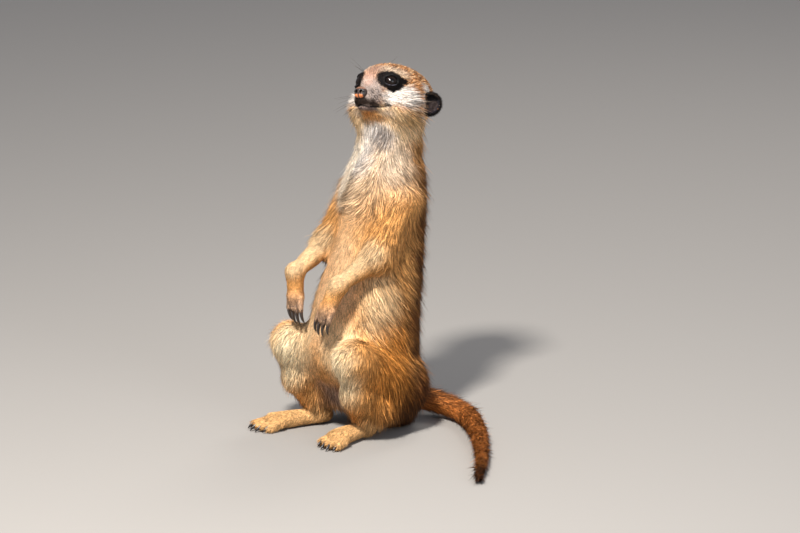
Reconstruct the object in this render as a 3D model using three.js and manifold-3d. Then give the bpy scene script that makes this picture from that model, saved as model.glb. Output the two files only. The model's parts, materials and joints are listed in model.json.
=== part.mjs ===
// A sitting meerkat at life size, as a still museum model.
// Millimetres, +Z up. The chest faces -Y, the animal's left side is +X, and the origin is the middle
// of the flat under the rump. Outlines run to the tips of the coat.
import * as THREE from "three";
import { mergeVertices } from "three/addons/utils/BufferGeometryUtils.js";
import Module from "manifold-3d";

const wasm = await Module();
wasm.setup();

// ---------------------------------------------------------------- driving dimensions
const GAP = 0.3; // between neighbours that touch

// The trunk and neck as level rings: height, middle (y), half width (x) and half depth (y).
const TRUNK_RINGS = [
  { z: -9, y: -4, wide: 6, deep: 5 },
  { z: 0, y: -4, wide: 23, deep: 18 },
  { z: 8, y: -5, wide: 31, deep: 23 },
  { z: 24, y: -14, wide: 37, deep: 33 },
  { z: 57, y: -24, wide: 39, deep: 47 },
  { z: 91, y: -19.5, wide: 37, deep: 44.5 },
  { z: 123, y: -11.5, wide: 34, deep: 40 },
  { z: 145, y: -6.6, wide: 32, deep: 37 },
  { z: 163, y: -3.3, wide: 31, deep: 35.5 },
  { z: 180, y: -1.6, wide: 30, deep: 33.5 },
  { z: 195, y: 0.4, wide: 27.5, deep: 30.5 },
  { z: 206, y: 2.3, wide: 25, deep: 28 },
  { z: 218, y: 4, wide: 24.5, deep: 27.5 },
  { z: 232, y: 4, wide: 24, deep: 26 },
  { z: 246, y: 4, wide: 12, deep: 12 },
];
const NECK_BASE_Z = 193;
const WAIST_Z = 124;
const HIP_Z = 74;

// The head's own frame has its origin midway between the eyes: forward, left, up.
const EYES_MIDDLE = new THREE.Vector3(3, -13.5, 259);
const HEAD_YAW = 13; // degrees to the animal's left
const HEAD_PITCH = 22; // degrees, muzzle raised
const HEAD_ROLL = 8; // degrees, the left eye raised
const EYE_RADIUS = 6;
const EYE_AT = { forward: -4.5, left: 11.4, up: -0.2 };
const EYE_HOLLOW = { out: 8.2, half: [5.2, 5.2, 4.2] };
const EAR_AT = { forward: -39.5, left: 26.6, up: -10.6 };
const EAR_HALF = { long: 9, wide: 8, thick: 3 };
const EAR_TURN = 0.95; // radians outwards from straight ahead
const NOSE_AT = { forward: 15.6, up: -13.4 };
const NOSE_HALF = { wide: 4.4, high: 3.9, deep: 3.4 };

// Joints of the left limbs; the right ones are mirrored, with their own hand and foot places.
const ARM = {
  shoulder: { at: [20.5, -5, 171], radius: 16.5 },
  elbow: { at: [27, -29.5, 136], radius: 11.5 },
  wrist: { at: [24, -67, 118.5], radius: 7.6 },
};
const HANDS = {
  left: { lift: 0, palm: [21, -75, 101.5], tip: [17.5, -80.5, 85] },
  right: { lift: 1.5, palm: [21.5, -68.5, 101], tip: [19.5, -71.5, 84] },
};
const LEG = {
  hip: { at: [23, -9, 34], radius: 21 },
  knee: { at: [35, -60.5, 64], radius: 16 },
  calf: { at: [32.5, -55.5, 38], radius: 14 },
  ankle: { at: [26, -42, 11], radius: 9.5 },
};
const HAUNCH = { at: [30, -36, 27], radius: 18.5 }; // the flesh that fills the folded leg
const FEET = {
  left: { heel: [21, -35, 6.5], ball: [28, -70, 6] },
  right: { heel: [26, -38, 6.5], ball: [36, -76, 6] },
};
const PALM = { wide: 6.2, end: 4.2 };
const DIGITS = 4;
const FINGER = { spread: 3.6, radius: 3.1, length: 11 };
const TOE = { spread: 4.3, radius: 3.7, length: 12 };
const FORE_CLAW = { length: 14, radius: 1.7 };
const HIND_CLAW = { length: 7, radius: 1.5 };

// The tail's middle line on the floor, from the rump to the tip.
const TAIL_LINE = [
  [-2, 4, 19],
  [2, 20, 16.5],
  [18, 35, 11.5],
  [46, 36, 8.6],
  [78, 19, 7.6],
  [109, -5, 6.6],
  [138, -31, 5.2],
  [164, -58, 3.8],
];
const TAIL_RADIUS = { root: 9.6, middle: 7.2, tip: 3.2 };
const TAIL_LENGTHS = 5;

// Sizes of the facets, finer where the shapes are smaller.
const CELL = { head: 5.6, trunk: 15, arm: 8, hand: 4, leg: 10.9, foot: 5.6, nose: 2.9 };

const COLOURS = {
  coat: { color: 0xb98a58, roughness: 0.9, metalness: 0 },
  cream: { color: 0xd9c3a0, roughness: 0.9, metalness: 0 },
  golden: { color: 0xc98f4a, roughness: 0.9, metalness: 0 },
  tail: { color: 0x9a5f2e, roughness: 0.9, metalness: 0 },
  ear: { color: 0x2a2426, roughness: 0.85, metalness: 0 },
  eye: { color: 0x120c0a, roughness: 0.08, metalness: 0 },
  nose: { color: 0x5b3a2c, roughness: 0.45, metalness: 0 },
  claw: { color: 0x1d1917, roughness: 0.4, metalness: 0 },
};

// ---------------------------------------------------------------- distance fields
const UP = new THREE.Vector3(0, 0, 1);
const vec = (a) => new THREE.Vector3(...a);
const mix = (a, b, t) => a + (b - a) * t;
const clamp01 = (t) => Math.min(1, Math.max(0, t));

// Two fields joined with a fillet about `soft` wide.
const blend = (a, b, soft) => {
  const h = Math.max(soft - Math.abs(a - b), 0) / soft;
  return Math.min(a, b) - (h * h * soft) / 4;
};

// A rounded bar from one joint to the next, `flat` times as high as it is wide.
function bar(from, to, radiusFrom, radiusTo, flat = 1) {
  const way = to.clone().sub(from);
  const square = way.lengthSq();
  return (p) => {
    const t = clamp01(p.clone().sub(from).dot(way) / square);
    const off = p.clone().sub(from.clone().addScaledVector(way, t));
    off.z /= flat;
    return (off.length() - mix(radiusFrom, radiusTo, t)) * Math.min(1, flat);
  };
}

// A ball stretched along three axes given by `turn`.
function ball(at, half, turn = new THREE.Quaternion()) {
  const back = turn.clone().invert();
  const least = Math.min(...half);
  return (p) => {
    const q = p.clone().sub(at).applyQuaternion(back);
    return (Math.hypot(q.x / half[0], q.y / half[1], q.z / half[2]) - 1) * least;
  };
}

const union = (soft, ...fields) => (p) =>
  fields.map((f) => f(p)).reduce((a, b) => blend(a, b, soft));

// A smooth value between rings, so that the outline has no kinks.
function ringAt(z, key) {
  const rings = TRUNK_RINGS;
  let i = 0;
  while (i < rings.length - 2 && rings[i + 1].z < z) i++;
  const [a, b] = [rings[i], rings[i + 1]];
  const slope = (j) => {
    const [lo, hi] = [rings[Math.max(j - 1, 0)], rings[Math.min(j + 1, rings.length - 1)]];
    return (hi[key] - lo[key]) / (hi.z - lo.z);
  };
  const span = b.z - a.z;
  const t = clamp01((z - a.z) / span);
  const [t2, t3] = [t * t, t * t * t];
  return (
    (2 * t3 - 3 * t2 + 1) * a[key] + (t3 - 2 * t2 + t) * span * slope(i) +
    (3 * t2 - 2 * t3) * b[key] + (t3 - t2) * span * slope(i + 1)
  );
}

function trunk(p) {
  const [wide, deep] = [ringAt(p.z, "wide"), ringAt(p.z, "deep")];
  const round = Math.hypot(p.x / wide, (p.y - ringAt(p.z, "y")) / deep) - 1;
  const ends = Math.max(TRUNK_RINGS[0].z - p.z, p.z - TRUNK_RINGS.at(-1).z);
  return Math.max(round * Math.min(wide, deep), ends);
}

// ---------------------------------------------------------------- head frame
const headTurn = new THREE.Quaternion()
  .setFromAxisAngle(UP, THREE.MathUtils.degToRad(HEAD_YAW))
  .multiply(
    new THREE.Quaternion().setFromAxisAngle(
      new THREE.Vector3(1, 0, 0),
      THREE.MathUtils.degToRad(-HEAD_PITCH),
    ),
  )
  .multiply(
    new THREE.Quaternion().setFromAxisAngle(
      new THREE.Vector3(0, 1, 0),
      THREE.MathUtils.degToRad(-HEAD_ROLL),
    ),
  );
// In the head's frame -Y is forward, +X is left and +Z is up.
const onHead = (forward, left, up) =>
  new THREE.Vector3(left, -forward, up).applyQuaternion(headTurn).add(EYES_MIDDLE);

const headBall = (forward, left, up, wide, long, high) =>
  ball(onHead(forward, left, up), [wide, long, high], headTurn);
const headBar = (a, b, ra, rb) => bar(onHead(...a), onHead(...b), ra, rb);

const cranium = union(
  14,
  headBall(-32, 0, -3.4, 25.8, 31, 21.6), // brain case
  headBall(-12, 0, 0.5, 17, 19, 11.5), // forehead and brow
);
const cheeks = union(
  10,
  headBall(-17, 15.5, -15, 12.5, 17, 12.5),
  headBall(-17, -15.5, -15, 12.5, 17, 12.5),
  headBall(-34, 0, -14, 25, 20, 15), // nape
);
const muzzle = union(
  6,
  headBar([-9, 0, -6], [11.6, 0, -11.5], 10.6, 5), // bridge
  headBar([-10, 4.6, -14], [9.2, 2.6, -16.2], 9.5, 5.6), // whisker pads
  headBar([-10, -4.6, -14], [9.2, -2.6, -16.2], 9.5, 5.6),
  headBar([-14, 0, -19], [8.4, 0, -20.4], 9, 4.2), // chin
);
// A shallow hollow round each eye, so that the eyeball shows between the lids.
const eyeWay = (side) => new THREE.Vector3(side * 0.66, -0.74, 0.12).normalize();
const hollow = (side) => {
  const at = eyeWay(side).multiplyScalar(EYE_HOLLOW.out);
  return headBall(EYE_AT.forward - at.y, side * EYE_AT.left + at.x, EYE_AT.up + at.z, ...EYE_HOLLOW.half);
};
const hollows = union(1, hollow(1), hollow(-1));
const headShape = union(7, cranium, cheeks, muzzle);
const headField = (p) => -blend(-headShape(p), hollows(p), 2.5);
const bodyField = (p) => blend(trunk(p), headField(p), 12);

// ---------------------------------------------------------------- limbs
const mirrored = (a, side) => new THREE.Vector3(a[0] * side, a[1], a[2]);

function chain(joints, side, lift = 0) {
  const bars = joints.slice(1).map((joint, i) => {
    const before = joints[i];
    const [from, to] = [mirrored(before.at, side), mirrored(joint.at, side)];
    from.z += lift;
    to.z += lift;
    return bar(from, to, before.radius, joint.radius);
  });
  return union(6, ...bars);
}

// Digits fan out from the palm or the ball of the foot; each ends where its claw starts.
function digitLines(root, tip, side, size) {
  const way = tip.clone().sub(root).normalize();
  return Array.from({ length: DIGITS }, (_, i) => {
    const place = i - (DIGITS - 1) / 2;
    const short = Math.abs(place) > 1 ? 0.82 : 1;
    const across = new THREE.Vector3(side * place * size.spread, 0, 0);
    const from = root.clone().add(across);
    const to = from.clone().addScaledVector(way, size.length * short).addScaledVector(across, 0.22);
    return { from, to, way };
  });
}

function arm(name, side) {
  const hand = HANDS[name];
  const palm = mirrored(hand.palm, side);
  const tip = mirrored(hand.tip, side);
  palm.z += hand.lift;
  tip.z += hand.lift;
  const fingers = digitLines(palm, tip, side, FINGER);
  const wrist = mirrored(ARM.wrist.at, side);
  wrist.z += hand.lift;
  const upper = chain([ARM.shoulder, ARM.elbow], side, hand.lift);
  const lower = chain([ARM.elbow, ARM.wrist], side, hand.lift);
  const knuckles = palm.clone().lerp(tip, 0.4);
  const heelOfHand = bar(wrist, palm, ARM.wrist.radius - 0.4, PALM.wide);
  const back = union(3, heelOfHand, bar(palm, knuckles, PALM.wide, PALM.end));
  const [thick, thin] = [FINGER.radius + 0.5, FINGER.radius - 0.7];
  const digits = union(1.5, ...fingers.map((f) => bar(f.from, f.to, thick, thin)));
  return { field: union(5, union(9, upper, lower), union(2.5, back, digits)), fingers, wrist, palm };
}

function leg(name, side) {
  const foot = FEET[name];
  const [heel, pad] = [mirrored(foot.heel, side), mirrored(foot.ball, side)];
  const tip = pad.clone().add(pad.clone().sub(heel).setLength(TOE.length));
  tip.z -= 2.2;
  const toes = digitLines(pad, tip, side, TOE);
  const bones = chain([LEG.hip, LEG.knee, LEG.calf, LEG.ankle], side);
  const haunch = bar(mirrored(LEG.hip.at, side), mirrored(HAUNCH.at, side), LEG.hip.radius, HAUNCH.radius);
  const limb = union(6, bones, haunch);
  const sole = bar(heel, pad, 7.5, 8.8, 0.8);
  const digits = union(1.5, ...toes.map((t) => bar(t.from, t.to, TOE.radius + 0.5, TOE.radius)));
  return { field: union(6, limb, union(3, sole, digits)), toes, heel, pad };
}

// ---------------------------------------------------------------- meshing
// Surface nets: one vertex in each cell that the surface crosses, pulled onto the surface.
// The two outer layers of the grid count as outside, so that the surface always closes.
function mesh(field, low, high, cell) {
  const count = ["x", "y", "z"].map((k) => Math.ceil((high[k] - low[k]) / cell) + 1);
  const at = (i, j, k) => i + count[0] * (j + count[1] * k);
  const corner = (i, j, k) => new THREE.Vector3(low.x + i * cell, low.y + j * cell, low.z + k * cell);
  const value = new Float64Array(count[0] * count[1] * count[2]).fill(1);
  for (let k = 2; k < count[2] - 2; k++)
    for (let j = 2; j < count[1] - 2; j++)
      for (let i = 2; i < count[0] - 2; i++) value[at(i, j, k)] = field(corner(i, j, k));

  const CORNERS = Array.from({ length: 8 }, (_, c) => [c & 1, (c >> 1) & 1, (c >> 2) & 1]);
  const EDGES = CORNERS.flatMap((_, c) => [1, 2, 4].filter((bit) => !(c & bit)).map((bit) => [c, c | bit]));
  const vertexOf = new Map();
  const positions = [];
  for (let k = 0; k < count[2] - 1; k++)
    for (let j = 0; j < count[1] - 1; j++)
      for (let i = 0; i < count[0] - 1; i++) {
        const values = CORNERS.map(([a, b, c]) => value[at(i + a, j + b, k + c)]);
        const inside = values.filter((v) => v < 0).length;
        if (inside === 0 || inside === 8) continue;
        const sum = new THREE.Vector3();
        let crossings = 0;
        for (const [a, b] of EDGES) {
          if (values[a] < 0 === values[b] < 0) continue;
          const t = values[a] / (values[a] - values[b]);
          const [pa, pb] = [CORNERS[a], CORNERS[b]].map(([u, v, w]) => corner(i + u, j + v, k + w));
          sum.add(pa.lerp(pb, t));
          crossings++;
        }
        vertexOf.set(at(i, j, k), positions.length / 3);
        const point = pulled(field, sum.divideScalar(crossings), cell);
        positions.push(...point.toArray());
      }

  const index = [];
  const strides = [1, count[0], count[0] * count[1]];
  for (let k = 1; k < count[2] - 1; k++)
    for (let j = 1; j < count[1] - 1; j++)
      for (let i = 1; i < count[0] - 1; i++) {
        const here = at(i, j, k);
        for (let axis = 0; axis < 3; axis++) {
          const there = here + strides[axis];
          if (value[here] < 0 === value[there] < 0) continue;
          const [u, v] = [strides[(axis + 1) % 3], strides[(axis + 2) % 3]];
          const quad = [here, here - u, here - u - v, here - v].map((c) => vertexOf.get(c));
          if (value[here] >= 0) quad.reverse();
          index.push(quad[0], quad[1], quad[2], quad[0], quad[2], quad[3]);
        }
      }
  return solid(positions, index);
}

// Moves a point along the field's slope until it lies on the surface, by at most half a cell.
function pulled(field, start, cell) {
  const step = 0.05;
  const point = start.clone();
  for (let turn = 0; turn < 3; turn++) {
    const value = field(point);
    const slope = new THREE.Vector3(
      field(point.clone().add(new THREE.Vector3(step, 0, 0))) - value,
      field(point.clone().add(new THREE.Vector3(0, step, 0))) - value,
      field(point.clone().add(new THREE.Vector3(0, 0, step))) - value,
    ).divideScalar(step);
    point.addScaledVector(slope, -value / Math.max(slope.lengthSq(), 0.2));
  }
  const moved = point.clone().sub(start);
  return moved.length() > cell / 2 ? start.clone().add(moved.setLength(cell / 2)) : point;
}

function solid(positions, index) {
  return new wasm.Manifold(
    new wasm.Mesh({
      numProp: 3,
      vertProperties: new Float32Array(positions),
      triVerts: new Uint32Array(index),
    }),
  );
}

function solidOf(geometry) {
  geometry.deleteAttribute("normal");
  geometry.deleteAttribute("uv");
  const merged = mergeVertices(geometry, 1e-4);
  return solid(merged.attributes.position.array, merged.index.array);
}

// The half of space on the side that `normal` points to, as a big block.
function halfSpace(point, normal, shift = 0) {
  const size = 800;
  const block = new THREE.BoxGeometry(size, size, size);
  const turn = new THREE.Quaternion().setFromUnitVectors(UP, normal.clone().normalize());
  block.translate(0, 0, size / 2 + shift);
  block.applyQuaternion(turn);
  block.translate(point.x, point.y, point.z);
  return solidOf(block);
}

const beyond = (body, point, normal) => body.intersect(halfSpace(point, normal, GAP / 2));
const before = (body, point, normal) => beyond(body, point, normal.clone().negate());
const largest = (body) => body.decompose().sort((a, b) => b.volume() - a.volume())[0];

// A tapering tube along a curve, closed by a point at each end.
function taper(curve, radiusAt, steps, sides) {
  const frames = curve.computeFrenetFrames(steps, false);
  const positions = [...curve.getPointAt(0).toArray()];
  for (let i = 0; i <= steps; i++)
    for (let s = 0; s < sides; s++) {
      const angle = (2 * Math.PI * s) / sides;
      const point = curve
        .getPointAt(i / steps)
        .addScaledVector(frames.normals[i], Math.cos(angle) * radiusAt(i / steps))
        .addScaledVector(frames.binormals[i], Math.sin(angle) * radiusAt(i / steps));
      positions.push(...point.toArray());
    }
  const last = positions.length / 3;
  positions.push(...curve.getPointAt(1).toArray());
  const index = [];
  const ring = (i, s) => 1 + i * sides + (s % sides);
  for (let s = 0; s < sides; s++) {
    index.push(0, ring(0, s + 1), ring(0, s));
    for (let i = 0; i < steps; i++) {
      index.push(ring(i, s), ring(i, s + 1), ring(i + 1, s));
      index.push(ring(i, s + 1), ring(i + 1, s + 1), ring(i + 1, s));
    }
    index.push(last, ring(steps, s), ring(steps, s + 1));
  }
  return solid(positions, index);
}

// ---------------------------------------------------------------- the group
const meerkat = new THREE.Group();

function add(name, body, look) {
  const { vertProperties, triVerts } = largest(body).getMesh();
  const geometry = new THREE.BufferGeometry();
  geometry.setAttribute("position", new THREE.BufferAttribute(vertProperties, 3));
  geometry.setIndex(new THREE.BufferAttribute(triVerts, 1));
  geometry.computeVertexNormals();
  const piece = new THREE.Mesh(geometry, new THREE.MeshStandardMaterial(COLOURS[look]));
  piece.name = name;
  meerkat.add(piece);
}

const grown = (field, by = GAP) => (p) => field(p) - by;
const SIDES = [["left", 1], ["right", -1]];
const floor = (body) => body.intersect(halfSpace(new THREE.Vector3(), UP));

// The box round a left limb, or its mirror image.
function sideBox(side, low, high) {
  const [a, b] = [mirrored(low, side), mirrored(high, side)];
  return [a.clone().min(b), a.clone().max(b)];
}

// Limbs first, as whole solids and 0.3 mm larger copies that cut their neighbours.
const arms = {};
const legs = {};
for (const [name, side] of SIDES) {
  const a = arm(name, side);
  const [low, high] = sideBox(side, [-20, -110, 64], [66, 34, 208]);
  const handBox = sideBox(side, [-2, -106, 62], [44, -42, 136]);
  a.limb = mesh(a.field, low, high, CELL.arm);
  a.cutter = mesh(grown(a.field, 2 * GAP), low, high, CELL.arm);
  a.hand = mesh(a.field, ...handBox, CELL.hand);
  a.handCutter = mesh(grown(a.field, 3 * GAP), ...handBox, CELL.hand);
  arms[name] = a;

  const l = leg(name, side);
  const [from, to] = sideBox(side, [-24, -120, -28], [78, 38, 106]);
  const footBox = sideBox(side, [-4, -112, -14], [64, -4, 40]);
  l.limb = floor(mesh(l.field, from, to, CELL.leg));
  l.cutter = mesh(grown(l.field, 4 * GAP), from, to, CELL.leg);
  l.foot = floor(mesh(l.field, ...footBox, CELL.foot));
  l.footCutter = mesh(grown(l.field), ...footBox, CELL.foot);
  legs[name] = l;
}

// Tail: one tapering tube laid on the floor, cut into lengths.
const tailCurve = new THREE.CatmullRomCurve3(TAIL_LINE.map(vec), false, "centripetal");
const tailRadius = (t) =>
  t < 0.4
    ? mix(TAIL_RADIUS.root, TAIL_RADIUS.middle, t / 0.4)
    : mix(TAIL_RADIUS.middle, TAIL_RADIUS.tip, (t - 0.4) / 0.6);
const tail = floor(taper(tailCurve, tailRadius, 17, 8));
const tailCutter = taper(tailCurve, (t) => tailRadius(t) + GAP, 17, 8);

// Head with its eyes, nose and ears.
const eyeShape = (side, radius) => {
  const round = new THREE.SphereGeometry(radius, 9, 6);
  round.translate(...onHead(EYE_AT.forward, side * EYE_AT.left, EYE_AT.up).toArray());
  return solidOf(round);
};
const noseField = headBall(NOSE_AT.forward, 0, NOSE_AT.up, NOSE_HALF.wide, NOSE_HALF.deep, NOSE_HALF.high);
const noseAt = onHead(NOSE_AT.forward, 0, NOSE_AT.up);
const noseBox = [noseAt.clone().subScalar(9), noseAt.clone().addScalar(9)];
const nose = mesh(noseField, ...noseBox, CELL.nose);
const noseCutter = mesh(grown(noseField), ...noseBox, CELL.nose);

// An ear is an oval cup, turned outwards and forwards, that sits against the side of the head.
function ear(side, extra) {
  const { wide, long, thick } = EAR_HALF;
  const back = [[0, -1], [0.72, -0.75], [1, 0.5], [0.86, 0.8]];
  const front = extra ? [[0, 1]] : [[0.6, 0], [0, -0.3]];
  const outline = [...back, ...front].map(([r, h]) => new THREE.Vector2(r, h * (thick + extra)));
  const cup = new THREE.LatheGeometry(outline, 12);
  cup.scale(wide + extra, 1, long + extra);
  cup.rotateX(Math.PI);
  const lean = new THREE.Quaternion().setFromEuler(new THREE.Euler(0.2, side * 0.25, side * EAR_TURN, "ZYX"));
  cup.applyQuaternion(headTurn.clone().multiply(lean));
  cup.translate(...onHead(EAR_AT.forward, side * EAR_AT.left, EAR_AT.up).toArray());
  return solidOf(cup);
}

const headSolid = mesh(bodyField, vec([-44, -60, 194]), vec([44, 54, 292]), CELL.head);
const trunkSolid = mesh(bodyField, vec([-72, -108, -42]), vec([72, 78, 276]), CELL.trunk);

const throat = onHead(-13, 0, -27);
const nape = onHead(-52, 0, -22);
const neckPlane = new THREE.Vector3(1, 0, 0).cross(nape.clone().sub(throat)).normalize();
let head = beyond(headSolid, throat, neckPlane);
for (const [name, side] of SIDES) {
  head = head.subtract(eyeShape(side, EYE_RADIUS + GAP)).subtract(ear(side, GAP));
  add(`eye_${name}`, eyeShape(side, EYE_RADIUS), "eye");
  add(`ear_${name}`, ear(side, 0), "ear");
}
head = head.subtract(noseCutter);
add("head", head, "coat");
add("nose", nose, "nose");

// Neck, chest, belly and hips, less what the limbs and the tail take.
let torso = floor(trunkSolid);
for (const [name, side] of SIDES)
  torso = torso.subtract(arms[name].cutter).subtract(legs[name].cutter).subtract(ear(side, GAP));
const neckBase = new THREE.Vector3(0, 0, NECK_BASE_Z);
const waist = new THREE.Vector3(0, 0, WAIST_Z);
const hips = new THREE.Vector3(0, 0, HIP_Z);
add("neck", before(beyond(torso, neckBase, UP), throat, neckPlane), "coat");
add("chest", before(beyond(torso, waist, UP), neckBase, UP), "coat");
add("belly", before(beyond(torso, hips, UP), waist, UP), "cream");
add("hips", before(torso, hips, UP).subtract(tailCutter), "coat");

// The tail starts inside the rump, where the hips are cut to fit it.
for (let i = 0; i < TAIL_LENGTHS; i++) {
  const [from, to] = [i / TAIL_LENGTHS, (i + 1) / TAIL_LENGTHS];
  let length = tail;
  if (i > 0) length = beyond(length, tailCurve.getPointAt(from), tailCurve.getTangentAt(from));
  if (i < TAIL_LENGTHS - 1) length = before(length, tailCurve.getPointAt(to), tailCurve.getTangentAt(to));
  add(`tail_${i + 1}`, length, "tail");
}

// A claw curves down from the end of its digit.
function claw(digit, size, droop) {
  const { to, way } = digit;
  const start = to.clone().addScaledVector(way, -size.radius);
  const middle = start.clone().addScaledVector(way, size.length * 0.55);
  const end = start.clone().addScaledVector(way, size.length * 0.9);
  end.addScaledVector(droop, size.length * 0.34);
  const curve = new THREE.QuadraticBezierCurve3(start, middle, end);
  return taper(curve, (t) => mix(size.radius, 0.25, t), 2, 4);
}

for (const [name, side] of SIDES) {
  const a = arms[name];
  const elbow = mirrored(ARM.elbow.at, side).addScaledVector(UP, HANDS[name].lift);
  const shoulder = mirrored(ARM.shoulder.at, side);
  const forearmWay = a.wrist.clone().sub(elbow).normalize();
  const elbowPlane = forearmWay.clone().add(elbow.clone().sub(shoulder).normalize());
  const handWay = a.palm.clone().sub(a.wrist).normalize();
  const wristPlane = forearmWay.clone().add(handWay);
  add(`upper_arm_${name}`, before(a.limb, elbow, elbowPlane), "coat");
  add(`forearm_${name}`, before(beyond(a.limb, elbow, elbowPlane), a.wrist, wristPlane), "cream");
  add(`hand_${name}`, beyond(a.hand, a.wrist, wristPlane), "cream");
  const inward = new THREE.Vector3(0, 1, -0.1);
  a.fingers.forEach((finger, i) =>
    add(`claw_fore_${name}_${i + 1}`, claw(finger, FORE_CLAW, inward).subtract(a.handCutter), "claw"),
  );

  const l = legs[name];
  const [hip, knee, calf, ankle] = ["hip", "knee", "calf", "ankle"].map((k) => mirrored(LEG[k].at, side));
  const shankWay = ankle.clone().sub(knee).normalize();
  const kneePlane = shankWay.clone().add(knee.clone().sub(hip).normalize());
  const anklePlane = new THREE.Vector3(0, -0.5, -1);
  const ankleAt = ankle.clone().addScaledVector(UP, 6);
  const leg = l.limb.subtract(tailCutter);
  const kneeAt = knee.clone().lerp(calf, 0.35);
  add(`thigh_${name}`, before(leg, kneeAt, kneePlane), "golden");
  add(`shank_${name}`, before(beyond(leg, kneeAt, kneePlane), ankleAt, anklePlane), "golden");
  add(`foot_${name}`, beyond(l.foot, ankleAt, anklePlane), "golden");
  const down = new THREE.Vector3(0, 0, -0.55);
  l.toes.forEach((toe, i) =>
    add(`claw_hind_${name}_${i + 1}`, floor(claw(toe, HIND_CLAW, down)).subtract(l.footCutter), "claw"),
  );
}

export default meerkat;
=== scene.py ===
# %% [markdown]
# # A sitting meerkat at life size
#
# This lesson dresses a plain, faceted CAD model of a meerkat in skin, eyes, claws and a coat of fur.
# The CAD model gives every size: it comes in as a fixed frame and isn't moved. Its outline runs to the
# tips of the coat, so the skin made here lies a little inside it, and the tufts of hair fill the rest.
#
# Lengths in the helpers are millimetres, as on the real animal. They turn into metres only when a mesh is
# made. In the shared frame x runs to the animal's left, y to its back and z up from the floor.

import functools
import json
import math

import bmesh
import bpy
import numpy as np
from mathutils import Matrix, Vector

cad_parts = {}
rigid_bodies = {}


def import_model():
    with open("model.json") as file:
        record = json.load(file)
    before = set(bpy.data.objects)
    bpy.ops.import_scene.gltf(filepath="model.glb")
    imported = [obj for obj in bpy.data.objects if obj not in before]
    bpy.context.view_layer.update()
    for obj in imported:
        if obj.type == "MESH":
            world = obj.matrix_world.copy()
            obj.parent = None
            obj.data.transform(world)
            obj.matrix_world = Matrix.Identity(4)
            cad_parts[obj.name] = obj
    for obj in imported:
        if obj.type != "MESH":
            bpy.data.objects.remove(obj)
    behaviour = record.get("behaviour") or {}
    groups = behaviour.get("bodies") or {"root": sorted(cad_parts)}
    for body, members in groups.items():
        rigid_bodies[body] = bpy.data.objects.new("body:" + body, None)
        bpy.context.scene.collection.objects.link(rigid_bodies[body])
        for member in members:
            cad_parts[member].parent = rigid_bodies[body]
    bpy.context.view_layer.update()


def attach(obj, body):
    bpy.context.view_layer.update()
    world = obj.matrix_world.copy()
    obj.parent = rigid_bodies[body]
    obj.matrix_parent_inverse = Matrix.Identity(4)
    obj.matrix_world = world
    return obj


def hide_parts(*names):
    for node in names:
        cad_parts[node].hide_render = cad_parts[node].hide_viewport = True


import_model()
MM = 0.001

# %% [markdown]
# ## The shape under the hair
#
# A body under fur is soft and has no edges, so polygons laid by hand would need endless smoothing.
# A **distance field** does it in one go: a function that says how far any point is from the surface,
# and is below zero inside. Rounded bars make limbs, stretched balls make the skull, and a stack of rings
# makes the trunk. Two fields blend with a fillet of any size, and that is what flesh does at a joint.
#
# Each piece is drawn in by the depth of its coat, since the sizes are those of the outline with hair on.

# %% Fields that everything is made of
def blend(a, b, soft):
    """Joins two fields, with a fillet about `soft` millimetres wide."""
    near = np.maximum(soft - np.abs(a - b), 0) / soft
    return np.minimum(a, b) - near * near * soft / 4


def carve(a, b, soft):
    """Takes field b away from field a, with an edge rounded by `soft`."""
    return -blend(-a, b, soft)


def bar(p, start, end, r_start, r_end, flat=1.0):
    """A rounded bar that tapers from one radius to the other."""
    way = np.subtract(end, start)
    dx, dy, dz = (p[i] - start[i] for i in range(3))
    t = np.clip((dx * way[0] + dy * way[1] + dz * way[2]) / (way @ way), 0, 1)
    dx, dy, dz = dx - t * way[0], dy - t * way[1], (dz - t * way[2]) / flat
    return (np.sqrt(dx * dx + dy * dy + dz * dz) - r_start - (r_end - r_start) * t) * min(1, flat)


def unit(way):
    """The same direction, made one long."""
    return way / np.linalg.norm(way)


def in_axes(p, middle, turn):
    """Points as measured from `middle` along the three columns of `turn`."""
    d = [p[i] - middle[i] for i in range(3)]
    return [d[0] * turn[0, i] + d[1] * turn[1, i] + d[2] * turn[2, i] for i in range(3)]


def ball(p, at, half, turn=np.eye(3)):
    """A ball stretched along the three columns of `turn`."""
    q = [off / reach for off, reach in zip(in_axes(p, at, turn), half)]
    size = np.sqrt(q[0] ** 2 + q[1] ** 2 + q[2] ** 2)
    slope = np.sqrt((q[0] / half[0]) ** 2 + (q[1] / half[1]) ** 2 + (q[2] / half[2]) ** 2)
    return size * (size - 1) / np.maximum(slope, 1e-6)


outside = ball((8, 0, 0), (0, 0, 0), (5, 5, 5))
print("8 mm from the middle of a ball 10 mm across:", round(float(outside), 2), "mm outside")

# %% Trunk and neck as level rings
# Height, middle (y), half width and half depth, in millimetres.
RINGS = np.array([
    (-9, -4, 6, 5), (0, -4, 23, 18), (8, -5, 31, 23), (24, -14, 37, 33), (57, -24, 39, 47),
    (91, -19.5, 37, 44.5), (123, -11.5, 34, 40), (145, -6.6, 32, 37), (163, -3.3, 31, 35.5),
    (180, -1.6, 30, 33.5), (195, 0.4, 27.5, 30.5), (206, 2.3, 25, 28), (218, 4, 24.5, 27.5),
    (232, 4, 24, 26), (246, 4, 12, 12),
])
TRUNK_COAT = 4.0


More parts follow.
